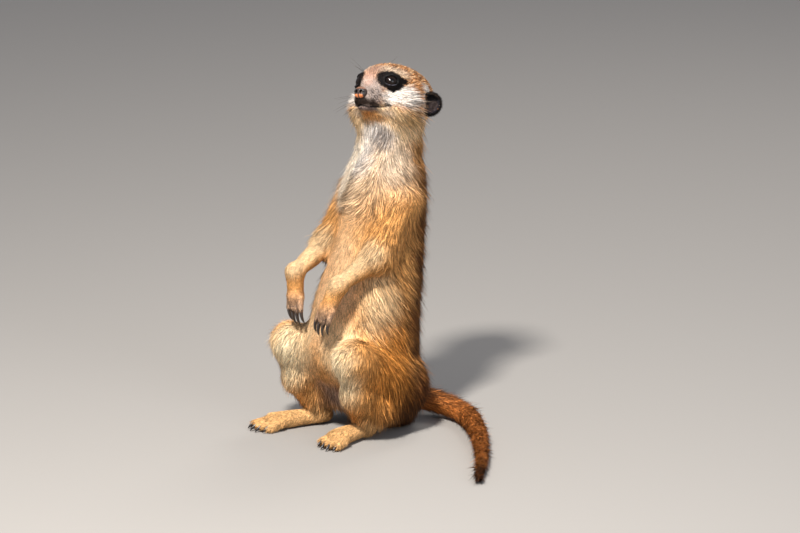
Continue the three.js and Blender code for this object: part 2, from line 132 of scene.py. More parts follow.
def ring_at(z, column):
    """A smooth value between rings, so that the outline has no kinks."""
    heights, values = RINGS[:, 0], RINGS[:, column]
    slopes = np.empty(len(RINGS))
    slopes[1:-1] = (values[2:] - values[:-2]) / (heights[2:] - heights[:-2])
    slopes[0] = (values[1] - values[0]) / (heights[1] - heights[0])
    slopes[-1] = (values[-1] - values[-2]) / (heights[-1] - heights[-2])
    i = np.clip(np.searchsorted(heights, z) - 1, 0, len(RINGS) - 2)
    span = heights[i + 1] - heights[i]
    t = np.clip((z - heights[i]) / span, 0, 1)
    rise = t * t * (3 - 2 * t)
    bend = t * (1 - t) * span * ((1 - t) * slopes[i] - t * slopes[i + 1])
    return values[i] + (values[i + 1] - values[i]) * rise + bend


def trunk(p):
    """The trunk's skin."""
    wide = ring_at(p[2], 2)
    deep = ring_at(p[2], 3)
    across, along = p[0] / wide, (p[1] - ring_at(p[2], 1)) / deep
    size = np.sqrt(across**2 + along**2)
    slope = np.sqrt((across / wide) ** 2 + (along / deep) ** 2)
    side = size * (size - 1) / np.maximum(slope, 1e-5)
    ends = np.maximum(RINGS[0, 0] - p[2], p[2] - RINGS[-1, 0])
    return np.maximum(side, ends) + TRUNK_COAT


print("trunk:", len(RINGS), "rings, widest", 2 * RINGS[:, 2].max(), "mm")

# %% [markdown]
# ## The head
#
# The head has its own frame: the origin lies midway between the eyes, and a point is given as
# forward, left and up. Turning and lifting the head is then two angles, and every fold, lid and lip
# below keeps its place on the face. Short hair covers the muzzle, and it gets longer on the cheeks.

# %% The head's frame and bones
EYES_MIDDLE = np.array([3, -13.5, 259.0])
YAW, PITCH, ROLL = 13, -22, -8  # degrees: turned to its left, muzzle raised, left eye raised


def turn_about(axis, degrees):
    """A turn about x, y or z as a 3 x 3 matrix."""
    return np.array(Matrix.Rotation(math.radians(degrees), 3, axis))


HEAD_TURN = turn_about("Z", YAW) @ turn_about("X", PITCH) @ turn_about("Y", ROLL)


def on_head(forward, left, up):
    """A point of the head's frame in the shared frame."""
    return HEAD_TURN @ np.array([left, -forward, up]) + EYES_MIDDLE


def to_head(p):
    """Forward, left and up of points in the shared frame."""
    left, back, up = in_axes(p, EYES_MIDDLE, HEAD_TURN)
    return -back, left, up


def head_ball(p, at, half):
    """A stretched ball: half sizes are across, along and up."""
    return ball(p, on_head(*at), half, HEAD_TURN)


def head_bar(p, start, end, r_start, r_end):
    """A tapered bar between two points of the head's frame."""
    return bar(p, on_head(*start), on_head(*end), r_start, r_end)


CROWN_COAT, CHEEK_COAT, MUZZLE_COAT = 1.5, 3.2, 0.7
EYE_RADIUS = 6.0
EYE_AT = {side: (-4.5, side * 11.4, -0.2) for side in (1, -1)}
EYE_OPEN = (5.1, 3.45)  # half width and half height between the lids
LID = 1.0  # thickness


def eye_frame(side):
    """The eye's middle and its axes: across towards the ear, up, and out along the sight."""
    out = unit(np.array([side * 0.66, -0.74, 0.12]))
    across = unit(np.cross(out, (0, 0, 1.0)) * -side)
    up = np.cross(out, across) * side
    up *= np.sign(up[2])
    turn = np.column_stack([HEAD_TURN @ v for v in (across, up, out)])
    return on_head(*EYE_AT[side]), turn


def eye_local(p, side):
    """Points in the eye's own axes."""
    return in_axes(p, *eye_frame(side))


def skull(p):
    """The head's skin before the eyes, mouth and nose are cut."""
    brain = head_ball(p, (-32, 0, -3.4), (25.8, 31, 21.6)) + CROWN_COAT
    brow = head_ball(p, (-12, 0, 0.5), (17, 19, 11.5)) + CROWN_COAT
    cheek = np.minimum(*(head_ball(p, (-17, s * 15.5, -16.5), (12.5, 17, 13.5)) for s in (1, -1)))
    jaw = head_ball(p, (-9, 0, -20), (14, 14, 11)) + CHEEK_COAT
    nape = head_ball(p, (-34, 0, -14), (25, 20, 15)) + CHEEK_COAT
    bridge = head_bar(p, (-9, 0, -6), (11.6, 0, -11.5), 10.6, 5) + MUZZLE_COAT
    pads = [head_bar(p, (-10, s * 4.6, -14), (9.2, s * 2.6, -16.2), 9.5, 5.6) for s in (1, -1)]
    pads = blend(pads[0] + MUZZLE_COAT, pads[1] + MUZZLE_COAT, 3)
    chin = head_bar(p, (-14, 0, -19), (8.4, 0, -20.4), 9, 4.2) + MUZZLE_COAT
    muzzle = blend(blend(bridge, pads, 5), chin, 5)
    back = blend(blend(brain, brow, 14), blend(cheek + CHEEK_COAT, nape, 10), 7)
    return blend(blend(back, jaw, 6), muzzle, 6)


print("head: eyes", EYES_MIDDLE[2], "mm above the floor, turned", YAW, "degrees")

# %% [markdown]
# ## Eyes, lids and mouth as cuts
#
# A lid is skin stretched over the eyeball. So a slightly larger ball is blended into the face first, and
# an almond-shaped opening is then cut down to the eyeball. The cut stops just under the ball, so no gap
# shows from any side. The mouth is a shallow groove that follows a line of points on the muzzle.

# %% Lids and mouth
# Forward, left and up on the head, from the middle of the lip to the corner of the mouth.
LIP = [
    (13.4, 0, -20.2), (12.0, 3, -20.6), (9.5, 5.3, -20.6), (5.5, 7.0, -20.0),
    (1.0, 9.2, -19.1), (-1.8, 11.8, -18.0), (-3.4, 15.0, -17.3),
]
LIP_GROOVE = 0.55  # radius of the groove between the lips
CUT_DEPTH = 0.45  # how far under the eyeball's front the opening goes


def lip_line(p, side, radius):
    """The groove between the lips, on one side."""
    points = [on_head(f, side * across, up) for f, across, up in LIP]
    lines = [bar(p, a, b, radius, radius) for a, b in zip(points, points[1:])]
    return np.minimum.reduce(lines)


def eye_opening(p, side):
    """Below zero inside the almond between the lids, in front of the eyeball."""
    u, v, out = eye_local(p, side)
    wide, high = EYE_OPEN
    almond = (np.sqrt((u / wide) ** 2 + (v / high) ** 2) - 1) * high
    return np.maximum(almond, -out)


def head(p):
    """The head's skin with its sockets, lids and lips."""
    face = skull(p)
    for side in (1, -1):
        u, v, out = eye_local(p, side)
        to_eye = np.sqrt(u**2 + v**2 + out**2)
        dip = np.sqrt((u / 7.5) ** 2 + (v / 5.5) ** 2 + ((out - 8.4) / 4.2) ** 2) * 4.2 - 4.2
        face = carve(face, dip, 3.0)
        face = blend(face, to_eye - EYE_RADIUS - LID, 1.6)
        cut = np.maximum(eye_opening(p, side), EYE_RADIUS - CUT_DEPTH - to_eye)
        face = carve(face, cut, 0.7)
        face = carve(face, lip_line(p, side, LIP_GROOVE), 0.8)
    return face


print("eye opening:", 2 * EYE_OPEN[0], "x", 2 * EYE_OPEN[1], "mm")

# %% [markdown]
# ## Ears
#
# A meerkat's ears are small oval cups, set low on the sides of the head. A thin shell would slip through
# the grid that the body is made on, so each ear is a field of its own: a stretched ball, hollowed by a
# second one, with the two folds that stand inside the cup. It is meshed finely and sunk into the head.

# %% The ear's own axes and shape
EAR_AT = (-37.6, 26.0, -9.6)
EAR_HALF = (7.8, 3.6, 8.2)  # across, deep, along
EAR_SWING, EAR_ROLL, EAR_NOD = math.degrees(0.95), math.degrees(0.25), 11.5


def ear_middle(side):
    """The middle of one ear in the shared frame."""
    return on_head(EAR_AT[0], side * EAR_AT[1], EAR_AT[2])


def ear_local(p, side):
    """Points in the ear's own axes: across, deep (below zero on the open side) and along."""
    lean = turn_about("Z", side * EAR_SWING) @ turn_about("Y", side * EAR_ROLL) @ turn_about("X", EAR_NOD)
    x, y, z = in_axes(p, ear_middle(side), HEAD_TURN @ lean)
    return x * side, y, z


def ear(p, side):
    """One ear: a hollowed ball with two folds in the cup."""
    q = ear_local(p, side)
    cup = ball(q, (0, 0, 0), EAR_HALF)
    cup = carve(cup, ball(q, (-0.6, -3.4, 0), (6.4, 4.7, 6.9)), 0.8)
    cup = np.maximum(cup, -q[1] - 1.7)
    cup = blend(cup, bar(q, (1.5, 1.6, -4.5), (2.6, 1.2, 4.0), 0.9, 0.7), 1.2)
    return blend(cup, bar(q, (-4.4, 0.4, -4.6), (-4.8, -0.2, 0.5), 1.3, 0.9), 1.5)


print("ears:", 2 * EAR_HALF[2], "mm long; middle of the left one:", ear_middle(1).round(1).tolist())

# %% [markdown]
# ## Arms, legs and tail
#
# A limb is a chain of bars from joint to joint. The animal holds its arms half bent in front of the
# belly and sits on its rump with its knees up. Only the hands and feet differ from side to side.

# %% Joints of the left limbs, and what differs on the right
# Each joint is a place and a radius.
SHOULDER, ELBOW, WRIST = ((20.5, -5, 171), 16.5), ((27, -29.5, 136), 11.5), ((24, -66.5, 118.5), 7.4)
LEG = [((23, -9, 34), 21), ((35, -60.5, 64), 16), ((32.5, -55.5, 38), 14), ((26, -42, 11), 9.5)]
HAUNCH = ((30, -36, 27), 18.5)  # the flesh that fills the folded leg
# By side (1 is left): how far the arm is raised, the palm, and the middle of the fingertips.
HANDS = {1: (0, (21, -75, 101.5), (17.5, -80.5, 85)), -1: (1.5, (21.5, -68.5, 101), (19.5, -71.5, 84))}
# By side: the heel and the ball of the foot.
FEET = {1: ((21, -35, 6.5), (28, -70, 6)), -1: ((26, -38, 6.5), (36, -76, 6))}
DIGITS = 4
FINGER = {"spread": 3.7, "radius": 2.8, "length": 11}
TOE = {"spread": 4.5, "radius": 3.3, "length": 12.5}
TOE_DROP = 2.2  # how much lower the toes end than the ball of the foot
ARM_COAT, HAND_COAT, LEG_COAT, FOOT_COAT, TAIL_COAT = 2.6, 0.7, 3.4, 0.8, 2.2


def mirrored(point, side, lift=0.0):
    """A point of the left side, or its mirror image on the right."""
    return np.array([point[0] * side, point[1], point[2] + lift], float)


def digit_lines(root, tip, side, size):
    """Start, end and direction of each digit, fanned out from the palm or the ball of the foot."""
    way = unit(tip - root)
    lines = []
    for i in range(DIGITS):
        place = i - (DIGITS - 1) / 2
        short = 0.82 if abs(place) > 1 else 1.0
        across = np.array([side * place * size["spread"], 0, 0])
        start = root + across
        lines.append((start, start + way * size["length"] * short + across * 0.22, way))
    return lines


def arm_points(side):
    """Shoulder, elbow, wrist, palm and fingertip middle of one arm."""
    lift, palm, tip = HANDS[side]
    joints = [mirrored(at, side, lift) for at, _ in (SHOULDER, ELBOW, WRIST)]
    return joints + [mirrored(palm, side, lift), mirrored(tip, side, lift)]


def foot_points(side):
    """Heel, ball and toe middle of one foot."""
    heel, pad = (mirrored(point, side) for point in FEET[side])
    tip = pad + unit(pad - heel) * TOE["length"]
    tip[2] -= TOE_DROP
    return heel, pad, tip


def digits(p, root, tip, side, size, thicker, thinner):
    """All digits of one hand or foot."""
    radii = (size["radius"] + thicker, size["radius"] - thinner)
    return np.minimum.reduce([bar(p, a, b, *radii) for a, b, _ in digit_lines(root, tip, side, size)])


def arm(p, side):
    """One arm with its hand."""
    shoulder, elbow, wrist, palm, tip = arm_points(side)
    upper = bar(p, shoulder, elbow, SHOULDER[1], ELBOW[1])
    lower = bar(p, elbow, wrist, ELBOW[1], WRIST[1])
    back = blend(bar(p, wrist, palm, 7.2, 6.2), bar(p, palm, palm + (tip - palm) * 0.4, 6.2, 4.2), 3)
    fingers = digits(p, palm, tip, side, FINGER, 0.3, 0.6)
    return blend(blend(upper, lower, 9) + ARM_COAT, blend(back, fingers, 1.0) + HAND_COAT, 5)


def leg(p, side):
    """One folded leg with its foot."""
    heel, pad, tip = foot_points(side)
    joints = [(mirrored(at, side), radius) for at, radius in LEG]
    limb = [bar(p, a, b, ra, rb) for (a, ra), (b, rb) in zip(joints, joints[1:])]
    limb = blend(blend(limb[0], limb[1], 6), limb[2], 6)
    limb = blend(limb, bar(p, joints[0][0], mirrored(HAUNCH[0], side), LEG[0][1], HAUNCH[1]), 8)
    toes = digits(p, pad, tip, side, TOE, 0.4, 0.1)
    sole = bar(p, heel, pad, 7.5, 8.8, 0.8)
    return blend(limb + LEG_COAT, blend(sole, toes, 1.0) + FOOT_COAT, 6)


arm_heights = [round(float(joint[2])) for joint in arm_points(1)]
print("left arm, from the shoulder to the fingertips: heights", arm_heights, "mm")

# %% The tail's line
TAIL_LINE = np.array([
    (-2, 4, 19), (2, 20, 16.5), (18, 35, 11.5), (46, 36, 8.6),
    (78, 19, 7.6), (109, -5, 6.6), (138, -31, 5.2), (164, -58, 3.8),
], float)
TAIL_RADII = ((0, 9.6), (0.4, 7.2), (1, 3.2))  # how far along, and the radius there


def smooth_line(points, count):
    """Evenly spaced points on a smooth curve through the given ones (centripetal Catmull-Rom)."""
    ends = [2 * points[0] - points[1], *points, 2 * points[-1] - points[-2]]
    out = []
    for a, b, c, d in zip(ends, ends[1:], ends[2:], ends[3:]):
        t = np.cumsum([0, *(np.linalg.norm(q - p) ** 0.5 for p, q in ((a, b), (b, c), (c, d)))])
        for s in np.linspace(t[1], t[2], 24, endpoint=False):
            ab = (a * (t[1] - s) + b * (s - t[0])) / (t[1] - t[0])
            bc = (b * (t[2] - s) + c * (s - t[1])) / (t[2] - t[1])
            cd = (c * (t[3] - s) + d * (s - t[2])) / (t[3] - t[2])
            abc = (ab * (t[2] - s) + bc * (s - t[0])) / (t[2] - t[0])
            bcd = (bc * (t[3] - s) + cd * (s - t[1])) / (t[3] - t[1])
            out.append((abc * (t[2] - s) + bcd * (s - t[1])) / (t[2] - t[1]))
    out = np.array([*out, points[-1]])
    run = np.concatenate([[0], np.cumsum(np.linalg.norm(np.diff(out, axis=0), axis=1))])
    even = np.linspace(0, run[-1], count)
    return np.column_stack([np.interp(even, run, out[:, i]) for i in range(3)])


TAIL_STEPS = 26
TAIL = smooth_line(TAIL_LINE, TAIL_STEPS)
TAIL_RADIUS = np.interp(np.linspace(0, 1, TAIL_STEPS), *zip(*TAIL_RADII))


def tail(p):
    """The tail as a row of short bars."""
    steps = zip(TAIL, TAIL[1:], TAIL_RADIUS, TAIL_RADIUS[1:])
    return np.minimum.reduce([bar(p, *step) for step in steps]) + TAIL_COAT


print("tail:", round(np.linalg.norm(np.diff(TAIL, axis=0), axis=1).sum()), "mm long")

# %% [markdown]
# ## One skin from all of it
#
# The parts blend in turn, each with the fillet that its joint has: a shoulder or a thigh flows into the
# flank, and an arm only touches the belly. The field is sampled on a grid of small cells. Where it changes
# sign, **surface nets** put one vertex in each cell and join neighbours with quads, which gives an even
# mesh with no poles. Each vertex then slides along the field's slope until it lies on the surface.

# %% The whole body's field
NECK_FILLET = 7
FLOOR_GAP = 0.3  # the skin stops this far above the floor
HEAD_LOWEST = 190  # no part of the head lies lower
# Each limb's field, how softly it joins, and the box that holds it.
LIMBS = []
for side in (1, -1):
    LIMBS.append((functools.partial(leg, side=side), 14.0, (-24, -102, -16), (72, 30, 96), side))
    LIMBS.append((functools.partial(arm, side=side), 6.0, (-12, -96, 70), (56, 30, 204), side))
LIMBS.append((tail, 6.0, (-14, -70, -8), (176, 52, 34), 1))


def side_box(low, high, side):
    """A limb's box, or its mirror image."""
    xs = sorted((low[0] * side, high[0] * side))
    return np.array([xs[0], *low[1:]], float), np.array([xs[1], *high[1:]], float)


def body(p):
    """The skin at a list of points."""
    field = blend(trunk(p), head(p), NECK_FILLET)
    for limb, soft, low, high, side in LIMBS:
        low, high = side_box(low, high, side)
        near = np.all([(p[i] > low[i]) & (p[i] < high[i]) for i in range(3)], axis=0)
        field[near] = blend(field[near], limb([q[near] for q in p]), soft)
    return np.maximum(field, FLOOR_GAP - p[2])


def body_on_grid(axes):
    """The same on a grid, where each limb is only worked out in its own box."""
    xs, ys, zs = axes
    p = (xs[:, None, None], ys[None, :, None], zs[None, None, :])
    field = np.ascontiguousarray(np.broadcast_to(trunk(p), (len(xs), len(ys), len(zs)))).astype(np.float32)
    top = zs > HEAD_LOWEST
    part = (xs[:, None, None], ys[None, :, None], zs[None, None, top])
    field[:, :, top] = blend(field[:, :, top], head(part), NECK_FILLET)
    for limb, soft, low, high, side in LIMBS:
        low, high = side_box(low, high, side)
        cut = [slice(*np.searchsorted(axis, (low[i], high[i]))) for i, axis in enumerate(axes)]
        part = (xs[cut[0], None, None], ys[None, cut[1], None], zs[None, None, cut[2]])
        field[tuple(cut)] = blend(field[tuple(cut)], limb(part), soft)
    return np.maximum(field, FLOOR_GAP - p[2])


print("body:", len(LIMBS), "limbs are joined to the trunk and the head")


# %% Surface nets
def surface(axes, values):
    """Vertices and quads where the values change sign."""
    inside = values < 0
    shape = np.array(values.shape)
    cells = tuple(shape - 1)
    count = np.zeros(cells, np.int8)
    corners = [(i, j, k) for i in (0, 1) for j in (0, 1) for k in (0, 1)]
    for i, j, k in corners:
        count += inside[i:shape[0] - 1 + i, j:shape[1] - 1 + j, k:shape[2] - 1 + k]
    active = (count > 0) & (count < 8)
    at = np.array(np.nonzero(active)).T
    number = np.full(cells, -1, np.int32)
    number[active] = np.arange(len(at))
    corner = {c: values[at[:, 0] + c[0], at[:, 1] + c[1], at[:, 2] + c[2]] for c in corners}
    total, crossings = np.zeros((len(at), 3)), np.zeros(len(at))
    for a in corners:
        for axis in range(3):
            if a[axis]:
                continue
            b = tuple(v + (n == axis) for n, v in enumerate(a))
            va, vb = corner[a], corner[b]
            cross = (va < 0) != (vb < 0)
            t = np.where(cross, va / np.where(cross, va - vb, 1), 0)
            point = np.array(a, float) + t[:, None] * np.eye(3)[axis]
            total += point * cross[:, None]
            crossings += cross
    grid = at + total / crossings[:, None]
    low = np.array([axis[0] for axis in axes])
    step = axes[0][1] - axes[0][0]
    quads = []
    for axis in range(3):
        u, v = (axis + 1) % 3, (axis + 2) % 3
        first = np.take(inside, range(0, shape[axis] - 1), axis)
        change = first != np.take(inside, range(1, shape[axis]), axis)
        edge = np.array(np.nonzero(change)).T
        edge = edge[(edge[:, u] > 0) & (edge[:, v] > 0) & (edge[:, u] < cells[u]) & (edge[:, v] < cells[v])]
        du, dv = np.eye(3, dtype=int)[u], np.eye(3, dtype=int)[v]
        around = [edge, edge - du, edge - du - dv, edge - dv]
        quad = np.column_stack([number[c[:, 0], c[:, 1], c[:, 2]] for c in around])
        flip = ~first[edge[:, 0], edge[:, 1], edge[:, 2]]
        quad[flip] = quad[flip][:, ::-1]
        quads.append(quad)
    return low + grid * step, np.concatenate(quads)


def box_axes(low, high, cell):
    """The three rows of grid lines that fill a box."""
    return [np.arange(low[i], high[i] + cell, cell) for i in range(3)]


def slope(field, points, step=0.08):
    """Which way the field rises at each point."""
    rises = []
    for axis in np.eye(3):
        ahead, behind = (points + axis * step * s for s in (1, -1))
        rises.append(field(list(ahead.T)) - field(list(behind.T)))
    rises = np.array(rises).T
    return rises / np.maximum(np.linalg.norm(rises, axis=1, keepdims=True), 1e-9)


def settle(field, points, reach, rounds=3):
    """Slides points along the slope until they lie on the surface."""
    start = points.copy()
    for _ in range(rounds):
        points = points - slope(field, points) * np.clip(field(list(points.T)), -reach, reach)[:, None]
    return start + np.clip(points - start, -reach, reach)


SKIN_CELL = 1.5
LOW, HIGH = np.array([-56, -98, -4.0]), np.array([172, 54, 274.0])  # the box that holds the body
axes = box_axes(LOW, HIGH, SKIN_CELL)
skin_points, skin_quads = surface(axes, body_on_grid(axes))
print("skin:", len(skin_points), "vertices from", np.prod([len(a) for a in axes]), "cells")

# %% [markdown]
# ## More detail where it is looked at
#
# Lids, lips, ears and toes need smaller facets than a back does. So the quads there are split in four,
# once for the head, hands and feet, and once more round the eyes and the mouth. The new vertices are slid
# onto the field too, and so they pick up shape that the first grid was too coarse for.

# %% Split quads where the shape is fine
# Heights, in millimetres.
HEAD_BASE = 226
HAND_HEIGHTS = (72, 116)
FOOT_TOP = 17


def head_of(points):
    """Forward, left and up on the head, as rows."""
    return np.array(to_head(points.T)).T


def fine_once(points):
    """Head, hands and feet."""
    _, y, z = points.T
    hand = (y < -60) & (z > HAND_HEIGHTS[0]) & (z < HAND_HEIGHTS[1])
    return (z > HEAD_BASE) | hand | ((z < FOOT_TOP) & (y < -40))


def fine_twice(points):
    """Round the eyes, and the front of the muzzle."""
    forward, _, up = head_of(points).T
    eyes = [np.linalg.norm(points - eye_frame(side)[0], axis=1) < 7.6 for side in (1, -1)]
    return eyes[0] | eyes[1] | ((forward > -5) & (up < -12) & (up > -22))


def add_surface(bm, points, quads):
    """Adds points and the quads between them to a mesh."""
    first = len(bm.verts)
    for point in points:
        bm.verts.new(point)
    bm.verts.ensure_lookup_table()
    for quad in quads:
        bm.faces.new([bm.verts[first + i] for i in quad])


def places(bm):
    """Where the vertices are."""
    return np.array([vertex.co for vertex in bm.verts])


def move_to(bm, points):
    """Moves every vertex."""
    for vertex, point in zip(bm.verts, points):
        vertex.co = point


bm = bmesh.new()
add_surface(bm, skin_points, skin_quads)
for fine in (fine_once, fine_twice):
    bm.verts.index_update()
    points = settle(body, places(bm), 0.6)
    chosen = fine(points)
    move_to(bm, points)
    edges = [e for e in bm.edges if chosen[e.verts[0].index] and chosen[e.verts[1].index]]
    bmesh.ops.subdivide_edges(bm, edges=edges, cuts=1, use_grid_fill=True)
print("skin:", len(bm.verts), "vertices after splitting")

# %% Even out the mesh, and add the ears
points = settle(body, places(bm), 0.5)
bm.verts.index_update()
edge = np.array([(e.verts[0].index, e.verts[1].index) for e in bm.edges])
total, count = np.zeros_like(points), np.zeros(len(points))
for a, b in ((0, 1), (1, 0)):
    np.add.at(total, edge[:, a], points[edge[:, b]])
    np.add.at(count, edge[:, a], 1)
points += (total / count[:, None] - points) * 0.5
move_to(bm, settle(body, points, 0.5))


def local_surface(field, middle, reach, cell):
    """A small shape meshed on a fine grid of its own."""
    axes = box_axes(middle - reach, middle + reach, cell)
    grid = (axes[0][:, None, None], axes[1][None, :, None], axes[2][None, None, :])
    points, quads = surface(axes, field(grid))
    return settle(field, points, cell / 2), quads


EAR_REACH, EAR_CELL = 12, 0.6
for side in (1, -1):
    ear_side = functools.partial(ear, side=side)
    ear_points, ear_quads = local_surface(ear_side, ear_middle(side), EAR_REACH, EAR_CELL)
    add_surface(bm, ear_points, ear_quads)
print("ears:", len(ear_points), "vertices each")
for vertex in bm.verts:
    vertex.co *= MM
skin_mesh = bpy.data.meshes.new("skin")
bm.to_mesh(skin_mesh)
bm.free()
skin_mesh.shade_smooth()
print("skin:", len(skin_mesh.vertices), "vertices,", len(skin_mesh.polygons), "faces")


# %% The first piece
def add_piece(name, mesh, replaced=()):
    """Puts a mesh into the scene as a piece of the object."""
    piece = bpy.data.objects.new(name, mesh)
    bpy.context.scene.collection.objects.link(piece)
    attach(piece, "root")
    if replaced:
        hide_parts(*replaced)


FLESH = ["head", "neck", "chest", "belly", "hips", *(f"tail_{i}" for i in range(1, 6))]
for part in ("ear", "upper_arm", "forearm", "hand", "thigh", "shank", "foot"):
    FLESH += [f"{part}_left", f"{part}_right"]
add_piece("skin", skin_mesh, FLESH)
print("skin: takes the place of", len(FLESH), "CAD nodes")

# %% [markdown]
# ## Colours of the coat
#
# A meerkat's coat is grizzled: each hair is banded, golden with a dark root and often a dark tip. The face
# is white with a black patch round each eye, the throat is white, the belly thinly haired, the back dark.
#
# The marks are painted like soft dabs with an air brush: each one is a stretched ball in which a colour
# takes over from what lay there before. The same function colours the skin and every tuft, so the two
# always agree, and a dab on the head keeps its place when the head is turned.

# %% Tones, as they look in daylight
def tone(red, green, blue):
    """A screen colour (0 to 255) as the linear colour that a shader works with."""
    screen = np.array([red, green, blue]) / 255
    return np.where(screen < 0.04045, screen / 12.92, ((screen + 0.055) / 1.055) ** 2.4)


TAN = tone(218, 158, 94)
GOLD = tone(222, 144, 64)
CREAM = tone(230, 196, 152)
WHITE = tone(218, 208, 198)
GREY = tone(176, 160, 150)
MUZZLE = tone(158, 142, 134)
BRIDGE = tone(176, 142, 126)
BROWS = tone(152, 118, 102)
BROW_CREAM = tone(196, 172, 148)
CROWN_TAN = tone(206, 136, 80)
OLIVE = tone(176, 138, 88)
RUST = tone(180, 108, 52)
DARK = tone(44, 27, 17)
BACK_BROWN = tone(92, 46, 16)
BLACK = tone(9, 7, 8)
LIP_BROWN_AND_NOSE_SHADOW = tone(30, 18, 11)
LOWER_LIP = tone(98, 82, 78)
LID_RIM_REFLECTION = tone(104, 102, 114)
CHIN_TAN = tone(202, 144, 84)
CHIN_SPOT = tone(178, 108, 48)
BARE = tone(148, 126, 118)
EAR_INSIDE = tone(44, 39, 46)
EAR_BACK = tone(50, 40, 38)
WHORL_GREY = tone(120, 94, 76)
RUMP = tone(60, 32, 12)
FEET_GOLD = tone(210, 164, 110)
KNEE_PALE_AND_SUNLIT = tone(252, 232, 192)
THROAT = tone(226, 220, 216)
SUNLIT_CHEST = tone(246, 230, 208)
BELLY = tone(218, 178, 136)
FINGERS = tone(70, 56, 50)
print("tan, as a shader works with it:", TAN.round(3).tolist())


# %% Soft edges, paint and unevenness
def ease(x, low, high):
    """Rises smoothly from 0 at `low` to 1 at `high`."""
    t = np.clip((x - low) / (high - low), 0, 1)
    return t * t * (3 - 2 * t)


def fade(x, low, high):
    """Falls smoothly from 1 at `low` to 0 at `high`."""
    return 1 - ease(x, low, high)


def paint(colour, shade, cover):
    """Lets a shade take over, wholly where `cover` is 1."""
    colour += (shade - colour) * cover[:, None]


def wave(p, size, seed):
    """A soft, repeatable unevenness about `size` millimetres across, between -1 and 1."""
    rng = np.random.default_rng(seed)
    total = np.zeros(len(p))
    for _ in range(5):
        way = rng.normal(size=3)
        way *= 2 * np.pi / (size * np.linalg.norm(way)) * rng.uniform(0.6, 1.5)
        total += np.sin(p @ way + rng.uniform(0, 2 * np.pi))
    return np.tanh(total / 2)


print("halfway up a soft edge:", ease(0.5, 0, 1))

# %% Dabs of the head and body
WHORL = np.array([-4.3, -31.6, 173.3])  # where the hair of the chest meets
# The middle of a grey painted shadow that the jaw casts on the throat.
JAW_SHADOW_ON_THROAT = (14, -14, 219)  # a grey patch beside the crease, on the left only
CREASE = [np.array((6.0, -20.0, 218.0)), np.array((0.0, -26.5, 198.0)), WHORL]
CHEST_CREAM = WHITE * 0.3 + CREAM * 0.7
NECK_CREAM = WHITE * 0.45 + CREAM * 0.45

# Dabs on the head: colour, middle (forward, to the side, up), half sizes, softness, strength.
# They are on both sides alike.
HEAD_DABS = [
    (CREAM, (-12, 0, -30), (32, 32, 15), 0.3, 0.95),  # jaw and lower cheeks
    (MUZZLE, (10, 0, -10), (17, 14, 15), 0.35, 0.95),  # the muzzle as a whole
    (CREAM, (-36, 20, -24), (20, 14, 12), 0.5, 0.5),  # side of the neck under the ear
    (OLIVE, (-21, 20, -24), (13, 9, 5), 0.7, 0.75),  # lower cheek
    (WHITE, (-12, 20, -10), (15, 11, 9), 0.35, 0.95),  # cheek
    (CROWN_TAN, (-25, 24, -2), (7, 6, 5), 0.6, 0.5),  # cheek, towards the ear
    (WHITE, (-4, 13, -12), (8, 7, 7), 0.5, 0.85),  # cheek, towards the muzzle
    (BROW_CREAM, (-2, 10, 8.6), (13, 10, 4.6), 0.6, 0.9),  # brow
    (BROW_CREAM, (-11, 17, 7.0), (8, 7, 4.4), 0.8, 0.75),  # brow, towards the temple
    (BROWS, (1, 0, 6), (10, 9, 7), 0.5, 0.85),  # between the brows
    (BRIDGE, (7, 0, -1.5), (8, 4.5, 5), 0.6, 0.65),  # bridge
    (GREY, (7, 7, -11), (7, 4, 6), 0.6, 0.5),  # whisker pad
    # Under the nose: dark lip skin, deepened with the nose's painted shadow.
    (LIP_BROWN_AND_NOSE_SHADOW, (12, 0, -17.6), (8, 8.4, 4.2), 0.35, 0.98),  # under the nose
    (LIP_BROWN_AND_NOSE_SHADOW, (7, 7, -19), (8, 3.6, 2.4), 0.5, 0.9),  # upper lip
    (BLACK, (-1.5, 13, -17.8), (4, 3.6, 1.7), 0.5, 0.9),  # corner of the mouth
    (LOWER_LIP, (7, 3, -22.6), (11, 8, 2.4), 0.5, 0.9),  # lower lip
    (CHIN_TAN, (0, 0, -26.5), (13, 12, 4.4), 0.5, 0.85),  # chin
    (CHIN_SPOT, (5, 2, -25.4), (4, 3.4, 1.8), 0.6, 0.7),  # middle of the chin
    (CREAM, (-14, 0, -31), (10, 12, 5), 0.6, 0.5),  # under the jaw
    (THROAT, (-12, 0, -41), (15, 14, 14), 0.5, 0.9),  # throat
    (GREY, (-6, 12, -22), (7, 6, 3.5), 0.6, 0.5),  # behind the corner of the mouth
    (WHITE, (-33, 24, 0.5), (6, 6, 4.5), 0.4, 0.9),  # over the ear
    (WHITE, (-35, 24, -19.5), (6, 6, 3.6), 0.4, 0.8),  # under the ear
    (WHITE, (-29.5, 25, -9), (2.6, 5, 9), 0.4, 0.85),  # front edge of the ear
]
